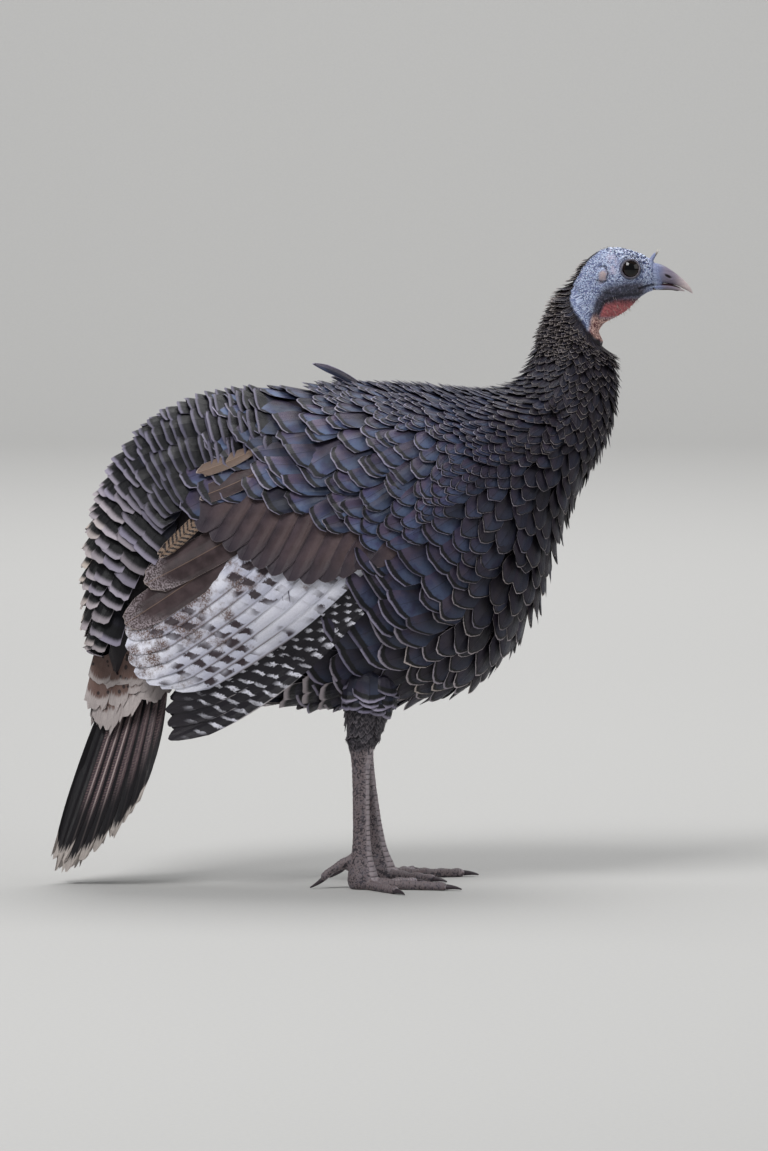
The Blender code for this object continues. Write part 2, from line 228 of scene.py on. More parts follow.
def spline(rows, at):
    """Catmull-Rom through rows, read at places counted in rows."""
    rows = np.asarray(rows, float)
    index = np.clip(np.floor(at).astype(int), 0, len(rows) - 2)
    t = (np.asarray(at, float) - index).reshape((-1,) + (1,) * (rows.ndim - 1))
    last = len(rows) - 1
    p0, p1 = rows[np.maximum(index - 1, 0)], rows[index]
    p2, p3 = rows[index + 1], rows[np.minimum(index + 2, last)]
    return 0.5 * (
        2 * p1 + (p2 - p0) * t + (2 * p0 - 5 * p1 + 4 * p2 - p3) * t**2
        + (3 * p1 - p0 - 3 * p2 + p3) * t**3
    )


def tree_of(*nodes):
    """The solids' triangles, ready for rays."""
    corners, faces, count = [], [], 0
    for node in nodes:
        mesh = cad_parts[node].data
        corners += [vertex.co.copy() for vertex in mesh.vertices]
        faces += [[index + count for index in polygon.vertices] for polygon in mesh.polygons]
        count = len(corners)
    return BVHTree.FromPolygons(corners, faces)


def soften(table, times, around):
    for _ in range(times):
        if around:
            table = (np.roll(table, 1, 1) + 2 * table + np.roll(table, -1, 1)) / 4
        inner = (table[:-2] + 2 * table[1:-1] + table[2:]) / 4
        table = np.concatenate([table[:1], inner, table[-1:]])
    return table


class Rings:
    """The coat's outer surface as rings of points, and how to read it anywhere."""

    def __init__(self, stations, nodes, per_station=10, aside=0.0):
        self.count = (len(stations) - 1) * per_station + 1
        self.per_station = per_station
        steps = np.linspace(0, len(stations) - 1, self.count)
        tree = tree_of(*nodes)
        table = np.zeros((self.count, SPOKES, 3))
        angles = np.linspace(-math.pi, math.pi, SPOKES, endpoint=False)
        for row, (x, z, lean) in enumerate(spline(stations, steps)):
            centre = Vector((x * MM, aside * MM, z * MM))
            up = Vector((-math.sin(math.radians(lean)), 0, math.cos(math.radians(lean))))
            for column, angle in enumerate(angles):
                outwards = up * math.cos(angle) + Vector((0, -math.sin(angle), 0))
                hit = tree.ray_cast(centre + outwards * REACH, -outwards, REACH)[0]
                table[row, column] = hit if hit else centre + outwards * MISSED
        self.points = soften(table, 3, True)
        ahead = np.gradient(self.points, axis=0)
        around = (np.roll(self.points, -1, 1) - np.roll(self.points, 1, 1)) / 2
        self.normals = unit(soften(unit(np.cross(ahead, around)), 2, True))
        middle = self.points.mean(1, keepdims=True)
        if ((self.points - middle) * self.normals).sum() < 0:
            self.normals = -self.normals
        self.ahead = np.linalg.norm(ahead, axis=-1)
        self.around = np.linalg.norm(around, axis=-1)

    def read(self, table, row, column):
        """The table's value between rings and spokes. row counts rings, column counts spokes."""
        row = np.clip(row, 0, self.count - 1.001)
        r0 = np.floor(row).astype(int)
        fr = row - r0
        column = np.mod(column, SPOKES)
        c0 = np.floor(column).astype(int) % SPOKES
        fc = column - np.floor(column)
        c1 = (c0 + 1) % SPOKES
        if table.ndim == 3:
            fr, fc = fr[..., None], fc[..., None]
        near = table[r0, c0] * (1 - fc) + table[r0, c1] * fc
        far = table[r0 + 1, c0] * (1 - fc) + table[r0 + 1, c1] * fc
        return near * (1 - fr) + far * fr


BODY_NODES = ("head", "neck", "trunk")
cloak = Rings(CLOAK_STATIONS, (*BODY_NODES, "wing_right", "wing_left"))
rump = Rings(RUMP_STATIONS, ("trunk",))
for name, form in (("cloak", cloak), ("rump", rump)):
    print(name, form.points.shape, "mm between rings", (form.ahead.mean() / MM).round(2))

# %% [markdown]
# ## One skin
# Head, neck, trunk, thighs, shanks and toes are one animal with no seams, so their solids are
# copied, swollen a hair to meet across their thin cuts, and melted into one by a voxel remesh.
# Where feathers will lie, the skin then sinks by the coat's depth. Only the bare head and legs
# need fine faces: those are subdivided and drawn onto a finer remesh of the same solids.

# %% Melt the solids into one skin
HEAD_NODES = ("head", "neck", "snood", "ear_right", "ear_left")
BILL_NODES = ("bill_upper", "bill_lower")
EYE_NODES = ("eye_right", "eye_left")
THIGH_NODES = ("thigh_right", "thigh_left")
WING_NODES = ("wing_right", "wing_left")
TOES = ("inner", "middle", "outer", "hind")
LEG_NODES = [node for side in SIDES for node in (f"leg_{side}", *(f"toe_{side}_{toe}" for toe in TOES))]
# How far each kind of solid swells, in mm. A wing shrinks, since its quills lie over it.
SWELL = {"wing": -6.5, "bill": 0.2}
SWELL_ELSE = 0.35
# Only a wing's arm and a bill's soft base are skin. The rest lies beyond a plane: place, way.
CUTS = {"wing": ((-40, 0, 300), (-1, 0, 0)), "bill": ((259.5, 0, 548), (1, 0, 0.35))}
COARSE_VOXEL, FINE_VOXEL = 4.4, 0.7


def melted(name, nodes, voxel, levels, swell):
    pieces = []
    for node in nodes:
        kind = node.split("_")[0]
        piece = copy_of(node, node + "_copy", levels)
        if kind in CUTS:
            place, way = CUTS[kind]
            with edit_mode(piece):
                bpy.ops.mesh.bisect(
                    plane_co=[v * MM for v in place], plane_no=way, use_fill=True, clear_outer=True
                )
        grown = vertex_normals(piece) * swell.get(kind, SWELL_ELSE) * MM
        move_vertices(piece, vertices_of(piece) + grown)
        pieces.append(piece)
    whole = joined(name, *pieces)
    apply_modifier(whole, "REMESH", mode="VOXEL", voxel_size=voxel * MM, use_smooth_shade=True)
    return whole


all_flesh = (*HEAD_NODES, *BILL_NODES, *EYE_NODES, "trunk", *THIGH_NODES, *LEG_NODES, *WING_NODES)
skin = melted("skin", all_flesh, COARSE_VOXEL, 0, {**SWELL, "snood": 1.6})
print("skin, coarse:", triangles(skin), "triangles")

# %% [markdown]
# The feathers begin along a line that runs from the back of the crown down the side of the neck
# to the throat, a hand's breadth of bare skin in front of it. The coat is thin on the neck and
# thighs and deep on the breast and rump, where the feathers are long.

# %% Sink the skin by the coat's depth
# Where bare skin begins, as (Z, X) in mm.
BARE_BORDER = (
    (488, 209), (492, 201), (500, 192.5), (509, 187), (516, 181), (527, 176.5), (540, 178), (549, 182.5),
    (558, 190), (565, 196.5), (570, 203),
)


def bare_head(points):
    """1 on the bare head and upper throat, 0 behind the first feathers. points in mm."""
    border = np.interp(points[:, 2], *zip(*BARE_BORDER))
    return ramp(points[:, 0] - border, -1.2, 1.6) * ramp(points[:, 2], 486, 490)


def bare_leg(points):
    return 1 - ramp(points[:, 2], 128, 138)


def coat_depth(points):
    x, y, z = points.T
    depth = 5.0 + 6 * ramp(-z, -480, -400) + 4 * ramp(-x, 60, 180)
    thigh = (1 - ramp(z, 168, 205)) * (np.abs(x) < 45)
    return depth * (1 - 0.65 * thigh) * (1 - bare_head(points)) * (1 - bare_leg(points))


places = vertices_of(skin)
depth = coat_depth(places / MM)
move_vertices(skin, places - vertex_normals(skin) * depth[:, None] * MM)
covered = skin.vertex_groups.new(name="covered")
covered.add(np.flatnonzero(depth > 1).tolist(), 1, "REPLACE")
apply_modifier(skin, "SMOOTH", factor=0.6, iterations=8, vertex_group="covered")
apply_modifier(skin, "DECIMATE", ratio=0.34, vertex_group="covered", vertex_group_factor=10)
print("under the coat only a coarse skin is needed:", triangles(skin), "triangles")

# %% Finer faces on the bare head and legs
EYE_LOW, EYE_HIGH = box_of("eye_right")
EYE, EYE_HALF = (EYE_LOW + EYE_HIGH) / 2, (EYE_HIGH - EYE_LOW) / 2


def refine(piece, chosen):
    """Splits the faces whose centres chosen(points in mm) picks."""
    picked = chosen(read_all(piece.data.polygons, "center") / MM)
    select_only(piece)
    bpy.ops.object.mode_set(mode="EDIT")
    bpy.ops.mesh.select_mode(type="FACE")
    bpy.ops.mesh.select_all(action="DESELECT")
    bpy.ops.object.mode_set(mode="OBJECT")
    piece.data.polygons.foreach_set("select", picked)
    bpy.ops.object.mode_set(mode="EDIT")
    bpy.ops.mesh.subdivide(number_cuts=1, smoothness=0)
    bpy.ops.object.mode_set(mode="OBJECT")


def from_eye(points):
    return np.hypot(points[:, 0] - EYE[0], points[:, 2] - EYE[2])


fine = melted("fine_reference", (*HEAD_NODES, *BILL_NODES, *EYE_NODES, *LEG_NODES), FINE_VOXEL, 1, SWELL)
print("fine reference:", triangles(fine), "triangles")
refine(skin, lambda p: (bare_head(p) > 0.02) | (bare_leg(p) > 0.5))
refine(skin, lambda p: (bare_head(p) > 0.3) | (p[:, 2] < 126))
refine(skin, lambda p: bare_head(p) > 0.9)
places = vertices_of(skin)
weights = np.round(np.maximum(bare_head(places / MM), 1 - ramp(places[:, 2] / MM, 127, 131)), 1)
group = skin.vertex_groups.new(name="bare")
for level in np.unique(weights[weights > 0]):
    group.add(np.flatnonzero(weights == level).tolist(), float(level), "REPLACE")
apply_modifier(skin, "SHRINKWRAP", target=fine, wrap_method="NEAREST_SURFACEPOINT", vertex_group="bare")
apply_modifier(skin, "SMOOTH", factor=0.4, iterations=2, vertex_group="bare")
apply_modifier(skin, "TRIANGULATE")
print("skin:", triangles(skin), "triangles")
bpy.data.objects.remove(fine)

# %% [markdown]
# ## The face
# A turkey's head skin is pebbled with small caruncles, whitish and largest on the crown. Two
# lids ring the eye, with creases round them. Behind it lies the soft ear patch. The cheek folds
# back from the gape, and the throat hangs in fine wrinkles down to rows of scales on the neck.
# Each is a small move of the skin along its normal, from a distance to the feature's own line.

# %% Patterns and lines on the skin


def cells(points, size, stretch=(1, 1, 1)):
    """How far each point is from the edge of its cell in a random stony pattern, 0 to about 1."""
    scale = 1 / (size * np.asarray(stretch, float))
    found = [noise.voronoi(Vector(p), distance_metric="DISTANCE", exponent=2.5)[0] for p in points * scale]
    return np.array([d[1] - d[0] for d in found])


def noise_at(points, size):
    """Slow wandering from -1 to 1."""
    return np.array([noise.noise(Vector(p)) for p in points / size])


def near_line(points, line, width):
    """1 on a broken line in the side view, fading out over width mm."""
    nearest = np.full(len(points), 1e9)
    for (x0, z0), (x1, z1) in zip(line, line[1:]):
        way = np.array([x1 - x0, z1 - z0])
        t = np.clip(((points[:, [0, 2]] - (x0, z0)) @ way) / (way @ way), 0, 1)
        gap = points[:, [0, 2]] - (np.array([x0, z0]) + t[:, None] * way)
        nearest = np.minimum(nearest, np.linalg.norm(gap, axis=1))
    return np.exp(-((nearest / width) ** 2))


def hump(values, middle, width):
    return np.exp(-(((values - middle) / width) ** 2))


# %% Draw the snood out to its full height
SNOOD_FOOT, SNOOD_TIP = np.array([250.6, 0, 560.0]), np.array([255.0, 0, 568.6])
SNOOD_RADIUS, SNOOD_START = 4.5, 1.0
places = vertices_of(skin) / MM
snood_long = np.linalg.norm(SNOOD_TIP - SNOOD_FOOT)
snood_way = (SNOOD_TIP - SNOOD_FOOT) / snood_long
up = (places - SNOOD_FOOT) @ snood_way
aside = np.linalg.norm(places - SNOOD_FOOT - up[:, None] * snood_way, axis=1)
on_snood = (aside < SNOOD_RADIUS) & (up > SNOOD_START)
stands = up[on_snood].max()
stretch = (snood_long - SNOOD_START) / max(stands - SNOOD_START, 0.5)
places[on_snood] += ((up[on_snood] - SNOOD_START) * (stretch - 1))[:, None] * snood_way
move_vertices(skin, places * MM)
print("snood stands", stands.round(1), "of", snood_long.round(1), "mm")

# %% Zones of the head
EAR = sum(box_of("ear_right")) / 2
normals = vertex_normals(skin)
bare = bare_head(places)
head = np.flatnonzero(bare > 0.02)
p, n = places[head], normals[head]
x, y, z = p.T
facing = ramp(np.abs(n[:, 1]), 0.25, 0.6)
eye_gap = from_eye(p)
upper = ramp(z - EYE[2] + 0.35 * (x - EYE[0]), -2, 4)
crown = ramp(z + 0.42 * (x - 225), 562.5, 567) * ramp(x, 198, 206) * (1 - ramp(x, 246, 252))
nape = (1 - ramp(x - 0.25 * (z - 530), 196, 204)) * (1 - crown)
throat = ramp(-z, -531.5, -526) * ramp(x - 0.35 * (z - 515), 202, 206) * ramp(z, 508, 513)
neck_front = ramp(-z, -517, -508) * ramp(x - 0.2 * (z - 500), 192, 196) * (1 - throat)
cheek = near_line(p, ((202, 512), (204, 522), (213, 532), (228, 535.5), (238, 535.5)), 7.5) * (1 - nape)
cheek = np.clip(1.5 * cheek * (1 - ramp(-z, -529, -520) * throat), 0, 1)
wobble = noise_at(p, 3.5)
ear_gap = np.hypot((x - EAR[0] + 1) / 0.9, (z - EAR[2] - 0.4 * (x - EAR[0])) / 1.15) + 1.6 * wobble
ear = (1 - ramp(ear_gap, 1.8, 6.6)) * facing
streak = near_line(p, ((213.5, 566), (216, 558), (215, 552)), 3.8) * (1 - ear) * facing
streak *= ramp(wobble, -0.5, 0.3)
cere = ramp(x + 0.35 * (z - 548), 250.5, 256.5)
print("bare head vertices:", len(head))

# %% Caruncles, lids, ear and folds
GAPE = (239.0, 537.0)
EAR_FOLD = ((203, 557), (208, 557.5), (211.5, 552), (210, 547))
EAR_LOW_FOLD = ((200, 545), (204, 543.4), (209, 544))
LIPS = (GAPE, (246.8, 539.5), (253, 540.6), (260, 541.2))
CHEEK_FOLD = (GAPE, (232, 533.6), (224, 531.2), (214, 531.8), (206, 534))
CHEEK_RIDGE = ((238, 539.5), (231, 536.4), (222, 534.4), (213, 535.4))
THROAT_FOLD = ((241, 532.5), (230, 531), (218, 529), (208, 525), (203, 515))
LORE_FOLD = ((246, 556), (243, 551), (238, 546), (229, 543), (219, 543.5))
# Line, width and rise in mm. Grooves have a rise below 0.
FOLDS = (
    (EAR_FOLD, 0.7, -0.7),
    (EAR_LOW_FOLD, 0.7, -0.7),
    (LIPS, 0.75, -1.4),
    (CHEEK_FOLD, 0.8, -0.7),
    (THROAT_FOLD, 1.5, -0.9),
    (CHEEK_RIDGE, 1.3, 0.5),
    (LORE_FOLD, 0.7, -0.5),
)
# Distance from the eye's middle, width and rise in mm of the lids and the creases round them.
EYE_RINGS = (
    (8.3, 0.55, 0.5 + 0.35 * upper),
    (9.4, 0.45, -0.6),
    (10.3, 0.5, 0.3),
    (11.4, 0.5, -0.3 * (1 - upper)),
)
EYE_SOCKET = 1.8
small = cells(p, 1.65, (1.0, 1.0, 0.8))
rows = cells(p, 1.7, (1.1, 1.1, 0.75))
lumps = cells(p, 2.6)
grain = noise_at(p, 7.0)
plate = small * (1 - nape) + rows * nape
plate = ramp(plate * (1 - crown) + lumps * crown, 0.02, 0.5)
height = (0.34 + 0.2 * crown + 0.12 * nape + 0.08 * grain) * (plate - 0.6)
height *= ramp(eye_gap, 8.8, 11.5) * (1 - 0.6 * ear) * (1 - 0.85 * cere) * (1 - 0.5 * throat)
height += crown * (0.5 * noise_at(p, 5.0) + 0.35 * noise_at(p + 40, 2.8))
height -= facing * EYE_SOCKET * (1 - ramp(eye_gap, 6.9, 7.7))
for middle, width, rise in EYE_RINGS:
    height += facing * rise * hump(eye_gap, middle, width)
height += facing * (0.5 * hump(ear_gap, 0, 3.2) - 0.7 * hump(ear_gap, 5.6, 0.7))
for line, width, rise in FOLDS:
    height += facing * rise * near_line(p, line, width)
wrinkle = 0.5 * np.sin((z * 0.85 + x * 0.5 + 1.6 * grain) * 2.1)
wrinkle += 0.3 * np.sin((x * 0.9 - z * 0.3 + 2 * grain) * 2.7)
height = (height + throat * 0.45 * wrinkle) * bare[head]
places[head] = p + n * height[:, None]
move_vertices(skin, places * MM)
print("head vertices shaped:", len(head), "tallest move, mm:", np.abs(height).max().round(2))

# %% What the skin's colours will read on the head
lid = facing * ramp(eye_gap, 6.5, 7.5) * (1 - ramp(eye_gap, 8.7, 9.2))
# The dark mask is painted shade: in the creases round the eye, in the folds of cheek, throat and ear, and
# along the gape.
dark = facing * np.maximum.reduce([
    hump(eye_gap, 9.4, 0.5) + 0.7 * upper * hump(eye_gap, 11.2, 0.8),
    0.5 * near_line(p, CHEEK_FOLD, 0.8),
    0.9 * near_line(p, THROAT_FOLD, 1.5),
    0.8 * near_line(p, EAR_FOLD, 0.9) + 0.7 * near_line(p, EAR_LOW_FOLD, 0.8),
])
dark = np.clip(np.maximum(dark, 1.3 * near_line(p, LIPS, 1.1)), 0, 1)
zones = {name: np.zeros((len(places), 3)) for name in ("zone_top", "zone_low", "zone_fine")}
zones["zone_top"][head] = np.stack([crown, ear, streak], 1)
zones["zone_low"][head] = np.stack([throat, neck_front, cheek], 1)
zones["zone_fine"][head] = np.stack([lid, plate, dark], 1)
cere_share = np.zeros(len(places))
cere_share[head] = cere
print("zones:", list(zones))

# %% [markdown]
# ## Scaly legs
# Shanks have a net of small horny scales, and a row of broader ones down the front. Each toe is
# ringed with narrow plates across its top. The plates are raised cells with grooves between.

# %% Scales of shank and toes
FOOT_ASIDE, FOOT_BEHIND = 42.0, 9.0
SCUTE_PITCH, RING_PITCH, KNUCKLE_PITCH = 4.6, 2.7, 17.0
places = vertices_of(skin) / MM
normals = vertex_normals(skin)
legs = np.flatnonzero(bare_leg(places) > 0.02)
p, n = places[legs], normals[legs]
pivots = {}
for side, out in SIDES.items():
    pivots[side] = np.array([box_of(f"toe_{side}_middle")[0][0] - FOOT_BEHIND, out * FOOT_ASIDE])
pivot = np.where(p[:, 1:2] > 0, pivots["left"], pivots["right"])
from_pivot = np.linalg.norm(p[:, :2] - pivot, axis=1)
toe = ramp(from_pivot, 12, 16) * (1 - ramp(p[:, 2], 24, 36))
top = ramp(n[:, 2], 0.1, 0.5)
net = ramp(cells(p, 2.7, (1.0, 1.0, 0.85)), 0.0, 0.3)
front = ramp(n[:, 0], 0.35, 0.6) * (1 - toe)
knuckle = np.cos((from_pivot - 20) * 2 * math.pi / KNUCKLE_PITCH) * toe * ramp(from_pivot, 14, 20)
scute = np.abs(np.mod(p[:, 2] / SCUTE_PITCH + 0.5 * (p[:, 1] > pivot[:, 1]), 1) - 0.5) * 2
ring = np.abs(np.mod(from_pivot / RING_PITCH, 1) - 0.5) * 2
plate = net * (1 - front) + ramp(scute, 0.04, 0.35) * front
plate = plate * (1 - toe * top) + ramp(ring, 0.05, 0.4) * toe * top
height = (0.38 * (plate - 0.7) + 0.5 * knuckle) * bare_leg(p) * ramp(p[:, 2], 0.4, 2.0)
moved = places.copy()
moved[legs] = p + n * height[:, None]
moved[:, 2] = np.maximum(moved[:, 2], 0)
move_vertices(skin, moved * MM)
zones["zone_fine"][legs, 1] = plate
# Painted highlight: where the shank faces forward its colour is lightened.
front_share = np.zeros(len(places))
front_share[legs] = ramp(n[:, 0], 0.15, 0.6)
shares = {
    "bare_share": bare,
    "cere_share": cere_share,
    "leg_share": bare_leg(places),
    "front_share": front_share,
}
for name, values in {**zones, **shares}.items():
    store(skin, name, values)
print("leg vertices shaped:", len(legs))

# %% [markdown]
# ## One vane
# A feather is a shaft with a flat vane on each side, thin as paper. Copied thousands of times it
# may have only a few dozen faces, so it is a grid thickened by Solidify, but not at its rim,
# where both skins meet in one sharp edge. That leaves a closed lens. Its X is the place across
# the vane, its Y the place along it, and its Z the side it is on, all from -1 to 1.

# %% Model the vane
RIM = 0.99


def shape_of(piece, across, along, side, is_sharp=None):
    """What copies need to know of a piece, which then goes. is_sharp picks edges by their ends."""
    mesh = piece.data
    edges = np.array([edge.vertices[:] for edge in mesh.edges])
    print(piece.name, len(mesh.polygons), "faces,", triangles(piece), "triangles")
    shape = {
        "across": across,
        "along": along,
        "side": side,
        "edges": edges,
        "corners": np.array([loop.vertex_index for loop in mesh.loops]),
        "corner_edges": np.array([loop.edge_index for loop in mesh.loops]),
        "starts": np.array([polygon.loop_start for polygon in mesh.polygons]),
        "sharp": is_sharp(vertices_of(piece)[edges]) if is_sharp else np.zeros(len(edges), bool),
    }
    bpy.data.objects.remove(piece)
    return shape


def on_rim(ends):
    """Which edges run along the vane's rim, and not through its thickness."""
    return (np.abs(ends).max(-1) > RIM).all(1) & (np.abs(np.diff(ends, axis=1)[:, 0, 2]) < 0.5)


def vane(name, across, along):
    bpy.ops.object.select_all(action="DESELECT")
    bpy.ops.mesh.primitive_grid_add(x_subdivisions=across, y_subdivisions=along, size=2)
    piece = added(name)
    body = piece.vertex_groups.new(name="body")
    body.add([v.index for v in piece.data.vertices if max(abs(v.co.x), abs(v.co.y)) < RIM], 1, "REPLACE")
    apply_modifier(piece, "SOLIDIFY", thickness=2, offset=0, vertex_group="body", thickness_vertex_group=0)
    with edit_mode(piece):
        bpy.ops.mesh.remove_doubles(threshold=0.001)
        bpy.ops.mesh.dissolve_degenerate(threshold=0.001)
        bpy.ops.mesh.normals_make_consistent(inside=False)
    x, y, z = vertices_of(piece).T
    return shape_of(piece, x, (y + 1) / 2, np.round(z), on_rim)


SMALL_VANE = vane("small_vane", 4, 4)
BODY_VANE = vane("body_vane", 6, 6)
LONG_VANE = vane("long_vane", 8, 18)

# %% [markdown]
# The finish may later be painted onto a sheet, by the map named OFBake. Thousands of body
# feathers share one unwrap of the body's own shape, where each has a patch of 3 thousandths at
# its root's place: enough for its colour, fringe and band. That patch would lose the bars of a
# wing or tail quill, so every long quill has an island of its own, and a sheet for each piece.

# %% Copy a vane many times
PATCH, MAP_EDGE = 0.003, 0.005


def many(name, shape, places, patch, extent=PATCH, **values):
    """One mesh of many vanes. places holds their vertices, patch their middles on the map."""
    count, size = places.shape[:2]
    mesh = bpy.data.meshes.new(name)
    offsets = np.arange(count)[:, None]
    corners = (shape["corners"] + offsets * size).ravel()
    edges = (shape["edges"] + offsets[..., None] * size).ravel()
    corner_edges = (shape["corner_edges"] + offsets * len(shape["edges"])).ravel()
    starts = (shape["starts"] + offsets * len(shape["corners"])).ravel()
    mesh.vertices.add(count * size)
    mesh.edges.add(len(edges) // 2)
    mesh.loops.add(len(corners))
    mesh.polygons.add(len(starts))
    mesh.vertices.foreach_set("co", places.astype(np.float32).ravel())
    mesh.edges.foreach_set("vertices", edges)
    mesh.loops.foreach_set("vertex_index", corners)
    mesh.loops.foreach_set("edge_index", corner_edges)
    mesh.polygons.foreach_set("loop_start", starts)
    sharp = mesh.attributes.new("sharp_edge", "BOOLEAN", "EDGE")
    sharp.data.foreach_set("value", np.tile(shape["sharp"], count))
    mesh.update()
    mesh.validate()
    own = np.stack([shape["across"] * 0.5 + 0.5, shape["along"]], -1)
    unwrap = patch[:, None] + (own[None] - 0.5) * np.asarray(extent)
    for layer_name, at in (("OFBake", unwrap.reshape(-1, 2)), ("vane", np.tile(own, (count, 1)))):
        layer = mesh.uv_layers.new(name=layer_name)
        layer.data.foreach_set("uv", at[corners].astype(np.float32).ravel())
    piece = bpy.data.objects.new(name, mesh)
    bpy.context.scene.collection.objects.link(piece)
    for key, value in values.items():
        value = np.broadcast_to(value, (count, size) + np.shape(value)[2:])
        store(piece, key, value.reshape((count * size,) + value.shape[2:]))
    print(name, count, "vanes,", triangles(piece), "triangles")
    return piece


# %% [markdown]
# ## Laying feathers on the rings
# A contour feather is rooted in the skin and lies back over the next ones, so only its end shows.
# Rows are a fixed pitch apart, every second row is shifted by half a feather, and each feather
# is a little off its place, as on a living bird. The root sinks under the outer surface and the
# end reaches it, or stands off it where the bird has its feathers ruffled.

# %% Feathers on the rings


def outline(along, root, squared):
    """Half width of a vane, 1 at its widest."""
    rise = root + (1 - root) * np.sin(np.clip(along / 0.55, 0, 1) * math.pi / 2)
    return rise * (1 - (1 - squared) * np.clip((along - 0.6) / 0.4, 0, 1) ** 2)


def unwrap_of(form, places):
    """A root's place on the body unrolled: round the body, and from head to tail."""
    at = np.stack([np.mod(places[:, 1] / SPOKES, 1), places[:, 0] / form.count], 1)
    return MAP_EDGE + (1 - 2 * MAP_EDGE) * at


def look_of(*marks):
    """Each feather's warm, pale and fringe, then its band, gloss and extra, and a grain."""
    tint, dress = (np.stack(np.broadcast_arrays(*part), 1)[:, None] for part in (marks[:3], marks[3:]))
    return {"tint": tint, "dress": dress, "grain": rng.random(len(tint))[:, None]}


def lay(name, form, places, shape, reach, breadth, sink, flare, curve, look, tilt=0.0):
    """Feathers along the form's lie. A size in mm is one number, or one for each feather. curve
    is how rounded the end is, the root's share of the breadth, how squared the end is, the
    twist and the arch."""
    a, l, side = shape["across"], shape["along"] ** 0.75, shape["side"]
    a = np.sign(a) * np.abs(a) ** 0.8
    row, column = places[:, :1], places[:, 1:]
    sizes = [np.broadcast_to(v, len(places))[:, None] for v in (reach, breadth, sink, flare, *curve)]
    reach, breadth, sink, flare, rounding, root, squared, twist, arch = sizes
    tip = 1 - rounding * np.abs(a) ** (2.0 + 2.4 * ramp(squared, 0.7, 0.95))
    along = l * (1 - (1 - tip) * l)
    width = outline(along, root, squared)
    row_step = form.read(form.ahead, row + 2, column)
    column_step = form.read(form.around, row + 2, column)
    ragged = rng.normal(0, 1, (len(places), len(a))) * (l > 0.99) * 0.012
    rows = row + (along + ragged) * reach * MM / row_step
    sideways = a * width * breadth / 2 + twist * (along - 0.3) * reach
    columns = column + sideways * MM / column_step
    height = -sink * np.clip(1 - along, 0, 1) ** 1.15 + flare * along**2 - arch * a**2 * breadth / 20
    height = height + side * 0.16 * (1 - a**2) * (1.15 - along)
    down = np.where(column > SPOKES / 2, 1.0, -1.0)
    height = height + tilt * a * down * along
    normals = form.read(form.normals, rows, columns)
    points = form.read(form.points, rows, columns) + normals * height[..., None] * MM
    edge = np.stack([(1 - np.abs(a)) * width * breadth / 2, (tip - along) * reach, a * width * down], -1)
    make = np.stack([reach + 0 * along, breadth + 0 * along, along], -1)
    return many(name, shape, points, unwrap_of(form, places), edge=edge, make=make, **look)

# %% [markdown]
# ## The feathers of neck, breast, back and belly
# Their kind changes over the body. They are tiny and brown round the bare head, narrow and lilac
# on the mantle, and squared like roof tiles on the shoulders. Down the flanks they are broad,
# with a wide grey fringe, and under the tail they are pale. A few places on the side view name
# each kind, and every feather takes a mixture of those nearest to it.

